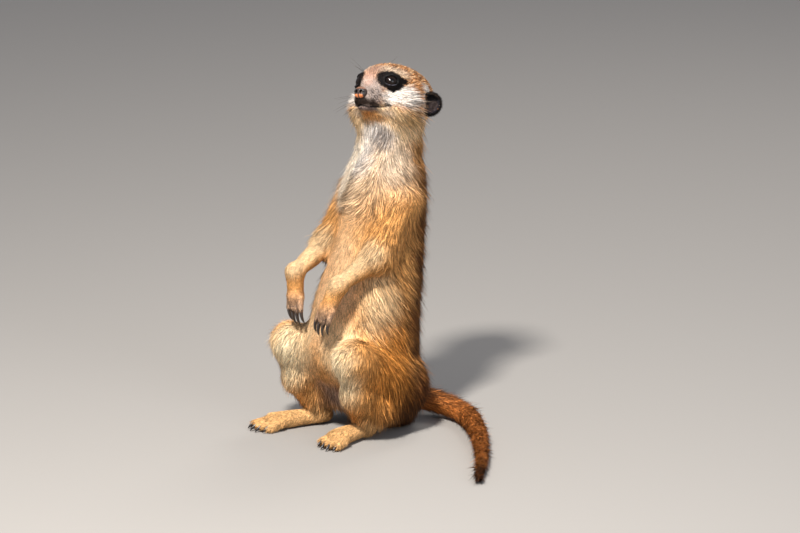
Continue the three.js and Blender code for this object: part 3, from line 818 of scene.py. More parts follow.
# Dabs on the body, in the shared frame, on both sides alike: colour, middle, half sizes, softness,
# strength, and how many of the hairs there have dark tips.
BODY_DABS = [
    (CHEST_CREAM, (0, -34, 188), (22, 20, 32), 0.9, 0.85, 0.15),  # front of the neck and chest
    (THROAT, (0, -26, 212), (13, 14, 24), 0.5, 0.9, 0.05),  # throat
    (NECK_CREAM, (21, -10, 205), (20, 22, 30), 0.8, 0.9, 0.1),  # sides of the neck
    (WHORL_GREY, tuple(WHORL), (8, 8, 11), 0.7, 0.7, 0.4),  # whorl of the chest
    (BELLY, (0, -54, 112), (25, 28, 62), 0.4, 0.9, 0.08),  # belly
    (CREAM, (34, -36, 100), (14, 20, 28), 0.5, 0.85, 0.1),  # flank under the elbow
    (GOLD, (44, -16, 52), (24, 44, 44), 0.45, 0.9, 0.42),  # thigh
    (CREAM, (20, -62, 66), (16, 18, 28), 0.5, 0.85, 0.1),  # inside of the thigh
    # Front of the knee: pale fur, made paler still with painted sunlight.
    (KNEE_PALE_AND_SUNLIT, (31, -76, 52), (17, 18, 30), 0.6, 0.8, 0.06),  # front of the knee
    (RUMP, (38, -4, 14), (34, 42, 36), 0.65, 0.95, 0.7),  # rump
    (BARE, (5, -52, 24), (14, 18, 18), 0.6, 0.85, 0.1),  # groin
    (FEET_GOLD, (32, -62, 8), (20, 46, 11), 0.3, 0.95, 0.08),  # feet
]
print("dabs:", len(HEAD_DABS), "on the head and", len(BODY_DABS), "on the body")


# %% How far a mark covers a point
def dab(p, middle, half, soft):
    """How much a dab covers each point, from 0 to 1."""
    size = np.linalg.norm((p - np.array(middle)) / np.array(half), axis=1)
    return fade(size, 1 - soft, 1 + soft * 0.6)


def near_line(p, a, b):
    """Distance from each point to a line from a to b."""
    return bar(list(p.T), a, b, 0, 0)


def near_crease(p):
    """Distance from the crease that runs from the throat to the whorl."""
    return np.minimum.reduce([near_line(p, a, b) for a, b in zip(CREASE, CREASE[1:])])


def on_crease(p):
    """The point of the crease at the same height as each point."""
    x, y, z = np.array(CREASE[::-1]).T
    return np.column_stack([np.interp(p[:, 2], z, row) for row in (x, y, z)])


def to_upper_side(p, side):
    """How far a point lies on the upper and outer side of an arm, from 0 to 1."""
    _, elbow, wrist, _, _ = arm_points(side)
    way = unit(wrist - elbow)
    off = p - elbow
    off = off - (off @ way)[:, None] * way
    on_forearm = ease((p - elbow) @ way, -8, 6)
    return ease(off[:, 2], -4, 5) * on_forearm * (p[:, 0] * side > 0)


whorl_to_crease = near_crease(WHORL[None])[0]
print("crease: ends", round(float(whorl_to_crease), 3), "mm from the whorl")


# %% Eye patches and ears
def eye_patch(p):
    """The black patch round each eye: a tilted oval with a point towards the ear."""
    cover = np.zeros(len(p))
    for side in (1, -1):
        u, v, out = eye_local(p.T, side)
        u = u + wave(p, 3.4, 3) * 0.55
        v = v + wave(p, 2.8, 4) * 0.6
        oval = np.sqrt(((u + 0.2) / 10.9) ** 2 + ((v - 0.3 + 0.1 * u) / 7.2) ** 2)
        point = np.sqrt(((u - 8) / 5.5) ** 2 + ((v - 1.2) / 2.6) ** 2)
        lobe = np.sqrt(((u - 1.5) / 4.6) ** 2 + ((v + 4.5) / 3.6) ** 2)
        size = np.minimum(np.minimum(oval, point), lobe)
        cover = np.maximum(cover, fade(size, 0.86, 1.1) * (out > -9))
    return cover


def ear_masks(p, side):
    """How far each point is on an ear, inside its cup, and on its black rim or hollow."""
    x, y, z = ear_local(p.T, side)
    reach = np.sqrt((x / EAR_HALF[0]) ** 2 + (z / EAR_HALF[2]) ** 2)
    size = np.sqrt(reach**2 + (y / EAR_HALF[1]) ** 2)
    on_ear = fade(size, 1.04, 1.2) * (ear(list(p.T), side) < 0.6)
    in_cup = on_ear * fade(y + 0.35 * x, -0.8, 1.4) * (reach < 0.86)
    hollow = np.maximum(fade(x + 0.2 * z, -3.4, -1.4), ease(z - 0.5 * x, 1.8, 3.4))
    black = np.maximum(ease(reach, 0.74, 0.86), hollow)
    return on_ear, in_cup, on_ear * black * (y < 2.6)


def part_weights(p):
    """How far each point belongs to the head, trunk, arms, legs and tail, adding up to 1."""
    q = list(p.T)
    arms = np.minimum(arm(q, 1), arm(q, -1))
    legs = np.minimum(leg(q, 1), leg(q, -1))
    far = [skull(q), trunk(q), arms, legs, tail(q)]
    weight = np.exp(-np.clip(np.array(far), -2, 40) / 2.5)
    return weight / weight.sum(axis=0)


eye_shares = part_weights(EYES_MIDDLE[None])[:, 0]
print("between the eyes: share of head, trunk, arms, legs and tail", eye_shares.round(2).tolist())

# %% Marks of the body, arms, legs and tail
BARS = (62, 178)  # the heights between which the back has dark bars
FINGERS_TOP = 96


def paint_trunk_and_legs(p, colour, dark, behind, back):
    """The soft dabs, then the dark back with its bars."""
    z = p[:, 2]
    mirrored_p = np.column_stack([np.abs(p[:, 0]), p[:, 1:]])
    moved = mirrored_p + wave(p, 14, 7)[:, None] * 1.5
    for shade, middle, half, soft, strength, tips in BODY_DABS:
        cover = dab(moved, middle, half, soft) * strength
        cover = cover * (1 - 0.85 * ease(behind, 0.1, 0.4) * (shade is not RUMP))
        paint(colour, shade, cover)
        dark += (tips - dark) * cover
    dark_bar = ease(np.sin(z / 2.4 + wave(p, 40, 6) * 1.6), 0.0, 0.9) * (z < BARS[1]) * (z > BARS[0])
    paint(colour, BACK_BROWN * (1 - 0.5 * dark_bar)[:, None], back * 0.85)
    dark += (0.75 - dark) * back


def paint_arms(p, colour, dark, on_arms):
    """Arms, paler above as painted sunlight and more golden below as painted shade, with grey hands and
    dark fingers.
    """
    z = p[:, 2]
    # Painted light and shade: the upper side of each arm is paler as if in sun, and the underside golden as
    # if in shade.
    above = np.maximum.reduce([to_upper_side(p, side) for side in (1, -1)])[:, None]
    shade = (GOLD * 0.1 + TAN * 0.8) * (1 - above) + (CREAM * 0.72 + TAN * 0.1) * above
    paint(colour, shade, on_arms * fade(z, 140, 170))
    dark += (0.15 - dark) * on_arms
    hands = ease(-z, -112, -FINGERS_TOP) * on_arms
    paint(colour, GREY * 0.9, hands * 0.55)
    paint(colour, FINGERS, ease(-z, -FINGERS_TOP, -90) * on_arms * 0.9)


def paint_tail(p, colour, dark, on_tail, streak):
    """A rusty tail, darker near the rump and on top, with a dark tip."""
    run = np.linalg.norm(p[:, None] - TAIL[None, ::2], axis=2).argmin(axis=1) / (TAIL_STEPS / 2)
    on_top = (0.25 + 0.55 * (run < 0.45)) * ease(p[:, 2], 9, 17) * (0.6 + 0.4 * streak)
    darker = np.clip(0.9 * ease(run, 0.76, 0.95) + on_top, 0, 1)
    paint(colour, RUST + (DARK - RUST) * darker[:, None], on_tail)
    dark += (0.4 - dark) * on_tail


print("back: bars from", BARS[0], "to", BARS[1], "mm high")


# %% Marks of the head, and all of them together
def paint_head(p, colour, dark, on_skull):
    """A speckled crown, the dabs of the face, a painted shadow of the jaw on the throat, and freckles on
    the muzzle.
    """
    face = on_skull * ease(p[:, 2], 214, 226)
    speckle = wave(p, 1.6, 13)
    crown = CROWN_TAN * (1 - 0.72 * ease(speckle, 0.2, 0.6))[:, None]
    crown = crown + (CREAM - crown) * (0.95 * ease(-speckle, 0.3, 0.7))[:, None]
    paint(colour, crown, face)
    dark += (0.42 - dark) * face
    h = head_of(p)
    h[:, 1] = np.abs(h[:, 1])
    ragged = wave(p, 6, 8)[:, None] * 0.8
    for shade, middle, half, soft, strength in HEAD_DABS:
        cover = dab(h + ragged, middle, half, soft) * strength * ease(p[:, 2], 205, 222)
        paint(colour, shade, cover)
        dark *= 1 - cover * 0.8
    flecks = ease(speckle, 0.1, 0.6) * ease(h[:, 2], 2, 8) * face
    colour *= (1 - 0.4 * flecks)[:, None]
    # Painted shadow of the jaw, in grey, on the throat beside the crease.
    paint(colour, GREY * 0.6, dab(p, JAW_SHADOW_ON_THROAT, (7, 9, 9), 0.6) * 0.75)
    freckles = ease(wave(p, 1.9, 10), 0.25, 0.6) * dab(h, (5, 8, -12), (9, 6, 6), 0.4)
    paint(colour, LIP_BROWN_AND_NOSE_SHADOW, freckles * 0.75)


def coat_colour(p):
    """The colour of the hair at each point, how much of it is dark-tipped, and the eye patches."""
    on_skull, on_trunk, on_arms, on_legs, on_tail = part_weights(p)
    z = p[:, 2]
    behind = (p[:, 1] - ring_at(z, 1)) / ring_at(z, 3) + 0.12 * wave(p, 24, 5)
    back = ease(behind, 0.0, 0.52) * np.maximum(on_trunk, on_legs * 0.8) * ease(z, 14, 40)
    back = back * (1 - 0.75 * ease(z, 182, 208))
    colour = np.repeat(TAN[None], len(p), axis=0)
    dark = np.full(len(p), 0.4)
    paint_trunk_and_legs(p, colour, dark, behind, back)
    paint_arms(p, colour, dark, on_arms)
    streak = wave(p * (1, 1, 0.3), 4.5, 9)
    paint_tail(p, colour, dark, on_tail, streak)
    # Painted sunlight: the chest on the animal's right of the crease is made paler.
    beside = p[:, 0] - on_crease(p)[:, 0]
    sunlit_chest_cover = ease(-beside, 0.5, 4) * ease(z, 158, 176) * fade(behind, -0.6, -0.1) * on_trunk
    paint(colour, SUNLIT_CHEST, sunlit_chest_cover * 0.85)
    lock = wave(p * (1, 1, 0.22), 2.6, 12)
    colour *= (1 + (0.14 + 0.4 * back) * (streak + lock) * (1 - on_skull))[:, None]
    # Painted shade along the crease that runs from the throat to the whorl.
    colour *= (1 - 0.6 * fade(near_crease(p), 0.8, 3.2) * (1 - on_skull))[:, None]
    paint_head(p, colour, dark, on_skull)
    patch = eye_patch(p)
    paint(colour, BLACK, patch)
    for side in (1, -1):
        on_ear, in_cup, rim = ear_masks(p, side)
        for shade, cover in ((EAR_BACK, on_ear), (EAR_INSIDE, in_cup), (BLACK, rim)):
            paint(colour, shade, cover)
        dark *= 1 - on_ear
    return colour, np.clip(dark, 0, 1), patch


crown_colour, _, _ = coat_colour(on_head(-20, 0, 18)[None])
print("crown: colour", crown_colour[0].round(3).tolist())


# %% Colour the skin
def skin_arrays(mesh):
    """Vertices in millimetres, their normals, and the triangles."""
    count = len(mesh.vertices)
    co, normal = np.empty(count * 3), np.empty(count * 3)
    mesh.vertices.foreach_get("co", co)
    mesh.vertex_normals.foreach_get("vector", normal)
    mesh.calc_loop_triangles()
    corner = np.empty(len(mesh.loop_triangles) * 3, np.int32)
    mesh.loop_triangles.foreach_get("vertices", corner)
    return co.reshape(-1, 3) / MM, normal.reshape(-1, 3), corner.reshape(-1, 3)


def store(mesh, name, values):
    """Keeps one number or one colour for each vertex, for a material to read."""
    values = np.asarray(values, np.float32)
    if values.ndim == 1:
        mesh.attributes.new(name, "FLOAT", "POINT").data.foreach_set("value", values)
    else:
        full = np.column_stack([values, np.ones(len(values), np.float32)])
        mesh.attributes.new(name, "FLOAT_COLOR", "POINT").data.foreach_set("color", full.ravel())


def face_masks(p):
    """How far each point is between the lids, on the lower lid's rim, where a reflection is painted, and on
    the lips.
    """
    inside_lids, rim_reflection, lips = np.zeros((3, len(p)))
    for side in (1, -1):
        u, v, out = eye_local(p.T, side)
        rim = np.sqrt((u / (EYE_OPEN[0] + 0.9)) ** 2 + (v / (EYE_OPEN[1] + 0.9)) ** 2)
        inside_lids = np.maximum(inside_lids, fade(rim, 0.9, 1.1) * (out > 0))
        on_rim = fade(np.abs(rim - 0.9), 0.03, 0.08) * ease(-v, 2.4, 3.2) * (out > 0)
        rim_reflection = np.maximum(rim_reflection, on_rim)
        lips = np.maximum(lips, fade(lip_line(list(p.T), side, 0), 0.6, 1.5))
    return inside_lids, rim_reflection, lips


PALM_SKIN = tone(74, 64, 62)
skin_at, skin_normal, skin_corner = skin_arrays(skin_mesh)
skin_colour, _, skin_patch = coat_colour(skin_at)
# The skin under the coat is darkened, darker tints the most: the hair's darker base, and painted shade
# under the hair.
skin_colour = skin_colour * (0.5 + 0.4 * skin_colour.mean(axis=1))[:, None]
inside_lids, rim_reflection, lips = face_masks(skin_at)
paint(skin_colour, BLACK * 0.5, np.maximum(inside_lids, lips * 0.9))
# Painted reflection: a pale bluish crescent on the wet rim of the lower lid.
paint(skin_colour, LID_RIM_REFLECTION, rim_reflection * 0.8)
_, y, z = skin_at.T
bare_hands = ease(-z, -104, -92) * (z > HAND_HEIGHTS[0]) * (y < -55) * part_weights(skin_at)[2]
paint(skin_colour, PALM_SKIN, bare_hands)
store(skin_mesh, "tint", skin_colour)
store(skin_mesh, "wet", np.maximum(inside_lids, lips * 0.6))
print("skin: coloured;", round(float(skin_patch.mean()) * 100, 1), "% lies in the eye patches")

# %% [markdown]
# ## Materials
#
# The coat's colour is stored on the mesh by the paint above, so the material only adds what is finer than
# a tuft: a darker root, partly painted shade deep in the coat, a dark tip where the hair is banded, and a
# little mottling. Skin and coat share one node group for that. The shader stays in each material, where its
# roughness is set on its own socket.

# %% Helpers for nodes
def add_node(tree, kind, links=(), **settings):
    """Adds a node, sets its properties, and plugs sockets or plain values into its inputs."""
    node = tree.nodes.new(kind)
    for key, value in settings.items():
        setattr(node, key, value)
    for key, value in dict(links).items():
        if isinstance(value, bpy.types.NodeSocket):
            tree.links.new(value, node.inputs[key])
        else:
            node.inputs[key].default_value = (*value, 1) if isinstance(value, np.ndarray) else value
    return node


def texture(tree, kind, scale, **inputs):
    """A texture that keeps its place on the object; returns the node."""
    place = add_node(tree, "ShaderNodeNewGeometry").outputs["Position"]
    return add_node(tree, kind, {"Vector": place, "Scale": scale, **inputs})


def noise(tree, scale, detail):
    """Soft mottling; returns its socket."""
    return texture(tree, "ShaderNodeTexNoise", scale, Detail=detail).outputs["Fac"]


def remap(tree, value, low, high, to_low=0.0, to_high=1.0):
    """Moves numbers from one range to another; returns the result's socket."""
    ends = {"From Min": low, "From Max": high, "To Min": to_low, "To Max": to_high}
    return add_node(tree, "ShaderNodeMapRange", {"Value": value, **ends}).outputs["Result"]


def times(tree, a, b):
    """Multiplies two numbers; returns the result's socket."""
    return add_node(tree, "ShaderNodeMath", {0: a, 1: b}, operation="MULTIPLY").outputs["Value"]


def brighten(tree, colour, by):
    """Multiplies a colour by a number; returns the result's socket."""
    node = add_node(tree, "ShaderNodeVectorMath", {0: colour, "Scale": by}, operation="SCALE")
    return node.outputs["Vector"]


def mix_colour(tree, factor, a, b):
    """Mixes two colours; returns the result's socket."""
    return add_node(tree, "ShaderNodeMix", {0: factor, 6: a, 7: b}, data_type="RGBA").outputs[2]


def read(tree, name, output="Fac"):
    """A number or colour that is stored on the mesh; returns its socket."""
    return add_node(tree, "ShaderNodeAttribute", attribute_name=name).outputs[output]


def new_look(name, **sockets):
    """A material with its shader's plain values set; returns it, its nodes and its shader's inputs."""
    look = bpy.data.materials.new(name)
    look.use_nodes = True
    inputs = look.node_tree.nodes["Principled BSDF"].inputs
    for label, value in sockets.items():
        inputs[label.replace("_", " ")].default_value = value
    return look, look.node_tree, inputs


def bumps(tree, inputs, height, strength, depth):
    """Fine relief, `depth` in metres."""
    node = add_node(tree, "ShaderNodeBump", {"Height": height, "Strength": strength, "Distance": depth})
    tree.links.new(node.outputs["Normal"], inputs["Normal"])


helpers = (add_node, texture, noise, remap, times, brighten, mix_colour, read, new_look, bumps)
print("helpers:", [helper.__name__ for helper in helpers])


# %% A shared node group for banded hair, with painted shade at the root
def new_group(name, inputs, outputs):
    """A shader node group with named inputs and outputs; returns it with its two end nodes."""
    group = bpy.data.node_groups.new(name, "ShaderNodeTree")
    for label, kind in inputs.items():
        group.interface.new_socket(label, in_out="INPUT", socket_type=kind)
    for label, kind in outputs.items():
        group.interface.new_socket(label, in_out="OUTPUT", socket_type=kind)
    return group, group.nodes.new("NodeGroupInput").outputs, group.nodes.new("NodeGroupOutput").inputs


hair_bands_and_shade, given, result = new_group(
    "hair_bands_and_shade",
    {"Tint": "NodeSocketColor", "Along": "NodeSocketFloat", "Dark": "NodeSocketFloat"},
    {"Colour": "NodeSocketColor"},
)
mottle = remap(hair_bands_and_shade, noise(hair_bands_and_shade, 900.0, 2.0), 0.3, 0.7, 0.84, 1.14)
# Darker towards the root: the hair's own darker base, deepened with painted shade inside the coat.
root_dark_and_shade = remap(hair_bands_and_shade, given["Along"], 0.0, 0.45, 0.34, 1.1)
lit = brighten(hair_bands_and_shade, given["Tint"], times(hair_bands_and_shade, mottle, root_dark_and_shade))
tip_dark = times(hair_bands_and_shade, remap(hair_bands_and_shade, given["Along"], 0.4, 0.85, 0.0, 0.85), given["Dark"])
hair_bands_and_shade.links.new(mix_colour(hair_bands_and_shade, tip_dark, lit, DARK), result["Colour"])


def banded(tree, inputs, along, dark):
    """Gives a shader the banded colour of hair, darkened towards the root with painted shade."""
    sockets = {"Tint": read(tree, "tint", "Color"), "Along": along, "Dark": dark}
    bands = add_node(tree, "ShaderNodeGroup", sockets, node_tree=hair_bands_and_shade)
    tree.links.new(bands.outputs["Colour"], inputs["Base Color"])


print("group:", hair_bands_and_shade.name, "with", len(hair_bands_and_shade.nodes), "nodes")

# %% Coat and skin
coat_look, tree, inputs = new_look("coat", Roughness=0.6, Specular_IOR_Level=0.12)
banded(tree, inputs, read(tree, "along"), read(tree, "dark"))

SKIN_ALONG = 0.4  # the skin is coloured as the lower part of a hair
skin_look, tree, inputs = new_look("skin", Specular_IOR_Level=0.16)
banded(tree, inputs, SKIN_ALONG, 0.0)
bumps(tree, inputs, noise(tree, 1400.0, 3.0), 0.5, 0.0003)
tree.links.new(remap(tree, read(tree, "wet"), 0.0, 1.0, 0.64, 0.5), inputs["Roughness"])
skin_mesh.materials.append(skin_look)
print("materials: coat and skin share", hair_bands_and_shade.name)

# %% [markdown]
# ## How the hair lies
#
# Hair doesn't grow any which way. It runs back from the nose over the head, down the neck, flank and thigh,
# and along each limb to its end. So every root gets a **lie**: a mix of the directions that the parts near
# it ask for, laid flat on the skin. The same mix gives the length, width and lift of the tuft.

# %% The lie, length, width and lift of the hair by part
# Length and width in millimetres, how steeply the tuft leaves the skin, and how many tufts lie over
# each other.
TRUNK_HAIR = np.array((11.0, 0.62, 0.46, 20.5))
NECK_HAIR = np.array((7.2, 0.50, 0.36, 16.0))
BELLY_HAIR = np.array((5.0, 0.46, 0.24, 12.0))
SHOULDER_HAIR = np.array((8.5, 0.58, 0.40, 16.0))
ARM_HAIR = np.array((4.8, 0.46, 0.32, 12.5))
WRIST_HAIR = np.array((3.2, 0.42, 0.26, 10.5))
HAND_HAIR = np.array((1.9, 0.38, 0.26, 8.0))
LEG_HAIR = np.array((9.8, 0.60, 0.46, 19.5))
SHANK_HAIR = np.array((6.5, 0.54, 0.34, 15.0))
FOOT_HAIR = np.array((1.7, 0.40, 0.22, 6.2))
TAIL_HAIR = np.array((8.6, 0.58, 0.46, 17.0))
FACE_COVER = 11.0
EAR_HAIR = np.array((2.3, 0.34, 0.6, 9.0))
NOSE_TIP = (15, 0, -12)
FAN_FROM = (30, -20, 112)  # the fold over the thigh, from which its hair fans out
# Distance from the nose, and length of the hair there.
FACE_LENGTHS = ((0, 0.7), (5, 1.0), (12, 1.7), (20, 3.0), (32, 5.0), (48, 7.0))
print("hair:", TRUNK_HAIR[0], "mm long on the trunk,", FACE_LENGTHS[0][1], "mm by the nose")


# %% Which way each part's hair runs
def shorter(length, most, cover):
    """Hair cut down to `most`, wholly where `cover` is 1."""
    return length + (np.minimum(length, most) - length) * cover


def distance(offsets):
    """The distance that belongs to three offsets."""
    return np.sqrt(sum(off**2 for off in offsets))


def trunk_lie(p):
    """Direction and hair of the trunk: down and back, towards the crease and the whorl in front."""
    z = p[:, 2]
    down = np.tile([0, 0, -1.0], (len(p), 1))
    down[:, 1] += 0.32 * ease(np.abs(p[:, 0]), 6, 26)
    to_whorl = WHORL - p
    close = np.linalg.norm(to_whorl, axis=1)
    pull = fade(close, 6, 30) * (p[:, 1] < -18)
    down += to_whorl / np.maximum(close, 1)[:, None] * (1.6 * pull)[:, None]
    beside = on_crease(p) - p
    apart = np.linalg.norm(beside, axis=1)
    down += beside / np.maximum(apart, 1)[:, None] * (0.9 * fade(apart, 5, 22) * (z > 170))[:, None]
    front = (ring_at(z, 1) - p[:, 1]) / ring_at(z, 3)
    panel = ease(front, 0.5, 0.78) * ease(z, 28, 44) * fade(z, 160, 176)
    hair = TRUNK_HAIR + (BELLY_HAIR - TRUNK_HAIR) * panel[:, None]
    hair += (NECK_HAIR - hair) * (ease(z, 182, 208) * ease(-p[:, 1], -16, 4))[:, None]
    return down, hair


def head_lie(p):
    """Direction and hair of the head: away from the nose, longer with the distance from it."""
    q = list(p.T)
    h = head_of(p)
    back = h - np.array(NOSE_TIP)
    reach = np.linalg.norm(back, axis=1)
    back = back / np.maximum(reach, 0.5)[:, None]
    back[:, 2] -= 0.25 * ease(-h[:, 2], 8, 22)
    direction = np.column_stack([back[:, 1], -back[:, 0], back[:, 2]]) @ HEAD_TURN.T
    crown = ease(h[:, 2], -4, 6)
    cheek = ease(np.abs(h[:, 1]), 10, 19) * ease(-h[:, 2], 2, 10) * ease(-h[:, 0], -2, 8)
    length = shorter(np.interp(reach, *zip(*FACE_LENGTHS)), 3.2, crown)
    for side in (1, -1):
        length = shorter(length, 1.3, fade(distance(eye_local(q, side)), 7.5, 12))
    length = length * (1 + 0.35 * cheek)
    for side in (1, -1):
        length = shorter(length, 2.0, fade(distance(ear_local(q, side)), 10, 17))
    width = 0.3 + 0.045 * length + 0.12 * crown
    return direction, np.column_stack([length, width, 0.46 + 0.22 * cheek, np.full(len(p), FACE_COVER)])


def along_bone(p, a, b, radius, hair, further=0.0):
    """A guide along a bone: how near each point is, the direction and the hair."""
    return near_line(p, a, b) - radius + further, np.tile(unit(b - a), (len(p), 1)), hair


def leg_lie(p, side):
    """Direction and hair of a thigh and shank: fanned out from the fold over the thigh."""
    fan = p - np.array(FAN_FROM) * (side, 1, 1)
    fan /= np.maximum(np.linalg.norm(fan, axis=1, keepdims=True), 1)
    fan[:, 2] -= 0.6
    return fan, LEG_HAIR + (SHANK_HAIR - LEG_HAIR) * ease(-p[:, 1], 42, 60)[:, None]


_, brow_hair = head_lie(on_head(0, 10, 9)[None])
print("brow: hair", round(float(brow_hair[0, 0]), 1), "mm long")


# %% The lie as a mix of all of them
def lie_of_hair(p, normal):
    """Direction of the hair at each point, and its length, width, lift and cover."""
    q = list(p.T)
    guides = [(trunk(q) + 1.0, *trunk_lie(p)), (skull(q), *head_lie(p))]
    for side in (1, -1):
        shoulder, elbow, wrist, palm, tip = arm_points(side)
        middle = elbow * 0.45 + wrist * 0.55
        guides.append(along_bone(p, shoulder, elbow, 12, SHOULDER_HAIR))
        guides.append(along_bone(p, elbow, middle, 8, ARM_HAIR))
        guides.append(along_bone(p, middle, wrist, 9, WRIST_HAIR))
        guides.append(along_bone(p, wrist, palm, 9, HAND_HAIR))
        guides.append(along_bone(p, palm, tip, 5, HAND_HAIR))
        guides.append((leg(q, side), *leg_lie(p, side)))
        heel, _, tip = foot_points(side)
        guides.append(along_bone(p, heel, tip, 9.5, FOOT_HAIR, np.clip(p[:, 2] - 13, 0, None)))
    guides += [along_bone(p, a, b, 7, TAIL_HAIR) for a, b in zip(TAIL[1::3], TAIL[4::3])]
    total = np.zeros(len(p))
    way, size = np.zeros((len(p), 3)), np.zeros((len(p), 4))
    for far, direction, hair in guides:
        weight = np.exp(-np.clip(far, -4, 30) / 2.0)
        total += weight
        way += direction * weight[:, None]
        size += hair * weight[:, None]
    for side in (1, -1):
        on_ear = ear_masks(p, side)[0]
        out = p - on_head(EAR_AT[0] + 4, side * (EAR_AT[1] - 4), EAR_AT[2])
        out /= np.linalg.norm(out, axis=1, keepdims=True)
        way += out * (on_ear * 30 * total)[:, None]
        size += (EAR_HAIR * total[:, None] - size) * on_ear[:, None]
    way += np.column_stack([wave(p, 16, seed) for seed in (21, 22, 23)]) * 0.16 * total[:, None]
    way -= normal * np.sum(way * normal, axis=1)[:, None]
    way /= np.maximum(np.linalg.norm(way, axis=1, keepdims=True), 1e-6)
    return way, size / total[:, None]


back_way, _ = lie_of_hair(np.array([(0.0, 20.0, 120.0)]), np.array([(0.0, 1.0, 0.0)]))
print("middle of the back: hair runs", back_way[0].round(2).tolist())

# %% [markdown]
# ## Where the tufts stand
#
# Roots are scattered evenly over the skin, closer together where the hair is short and fine. Nothing grows
# on the nose, between the lids, on the lips, on the soles or where the animal presses on the floor.

# %% Scatter the roots
SEED = 20
MOST_PER_MM2 = 14.0
BARE_NOSE = (15.3, 0, -12.4)  # the middle of the bare nose, on the head
SOLES_TOP = 1.2  # height under which nothing grows


def scatter(corners, normals, density, rng):
    """Evenly spaced random points on triangles; `density` is tufts for each square millimetre."""
    a, b, c = (corners[:, i] for i in range(3))
    area = np.linalg.norm(np.cross(b - a, c - a), axis=1) / 2
    run = np.cumsum(area * density)
    count = int(run[-1])
    pick = np.searchsorted(run, (np.arange(count) + rng.random(count)) / count * run[-1])
    pick = np.clip(pick, 0, len(run) - 1)
    u, v = rng.random(count), rng.random(count)
    flip = u + v > 1
    u[flip], v[flip] = 1 - u[flip], 1 - v[flip]
    weights = np.column_stack([1 - u - v, u, v])
    at = np.einsum("nc,ncx->nx", weights, corners[pick])
    normal = np.einsum("nc,ncx->nx", weights, normals[pick])
    return at, normal / np.linalg.norm(normal, axis=1, keepdims=True)


def bald(p):
    """Where no hair grows."""
    h = head_of(p)
    nose = np.linalg.norm((h - BARE_NOSE) / (4.6, 5.0, 4.8), axis=1) < 1
    none = nose | (p[:, 2] < SOLES_TOP)
    for side in (1, -1):
        u, v, out = eye_local(p.T, side)
        rim = np.sqrt((u / (EYE_OPEN[0] + 0.7)) ** 2 + (v / (EYE_OPEN[1] + 0.7)) ** 2)
        none |= (rim < 1) & (out > 0)
        none |= lip_line(list(p.T), side, 0) < 0.9
    return none


rng = np.random.default_rng(SEED)
lie, size = lie_of_hair(skin_at, skin_normal)
wanted = np.minimum(size[:, 3] / (size[:, 0] * size[:, 1]), MOST_PER_MM2)
density = wanted[skin_corner].mean(axis=1)
roots, root_normal = scatter(skin_at[skin_corner], skin_normal[skin_corner], density, rng)
keep = ~bald(roots)
roots, root_normal = roots[keep], root_normal[keep]
lie, size = lie_of_hair(roots, root_normal)
print("tufts:", len(roots))

# %% [markdown]
# ## Tufts as solid mesh
#
# A tuft is a lock of a few hairs, made as a thin straight spike: a small triangle stands in the skin, with
# a ridge on top, and three sides run from it to a point. It leaves the skin at a slant and lies along the
# body. Hundreds of thousands of curves would look finer still, but solid spikes can be exported, printed
# and reused anywhere.
#
# The light falls on real fur as on the body under it. A spike has sides that face all ways and would look
# too dark, so its normals are set to the skin's own, turned a little at random.

# %% Build tufts from roots
LONG_HAIR = 6  # millimetres
GUARD_HAIRS = 0.06  # how many tufts are fine guard hairs; twice as many where the hair is long
ROOT_DEPTH = 0.25  # how deep a tuft stands in the skin
LOWEST = 0.15  # height under which no tuft goes
TILT = 0.22  # how far the tufts' normals turn away from the skin's own
PATCH = 0.003  # a tuft's share of the unwrap
SPIKE_FACES = np.array([(0, 1, 2), (1, 0, 3), (2, 1, 3), (0, 2, 3)])  # the base, then the sides
SPIKE_SIDE = np.array([-1, 1, 0, 0])  # how far to the side each corner lies
SPIKE_ALONG = np.array([0, 0, 0, 1.0])  # 0 at the root and 1 at the tip
CORNERS = len(SPIKE_SIDE)


def spike_mesh(name, co, normals):
    """Spikes as one smooth mesh with normals of its own; also returns each face corner's vertex."""
    starts = np.arange(0, len(co), CORNERS)
    index = (SPIKE_FACES[None] + starts[:, None, None]).reshape(-1)
    mesh = bpy.data.meshes.new(name)
    mesh.vertices.add(len(co))
    mesh.vertices.foreach_set("co", (co * MM).ravel())
    mesh.loops.add(len(index))
    mesh.loops.foreach_set("vertex_index", index.astype(np.int32))
    mesh.polygons.add(len(index) // 3)
    mesh.polygons.foreach_set("loop_start", np.arange(0, len(index), 3, dtype=np.int32))
    mesh.update(calc_edges=True)
    mesh.shade_smooth()
    normals = normals / np.linalg.norm(normals, axis=1, keepdims=True)
    layer = mesh.attributes.new("custom_normal", "FLOAT_VECTOR", "POINT")
    layer.data.foreach_set("vector", normals.astype(np.float32).ravel())
    return mesh, index


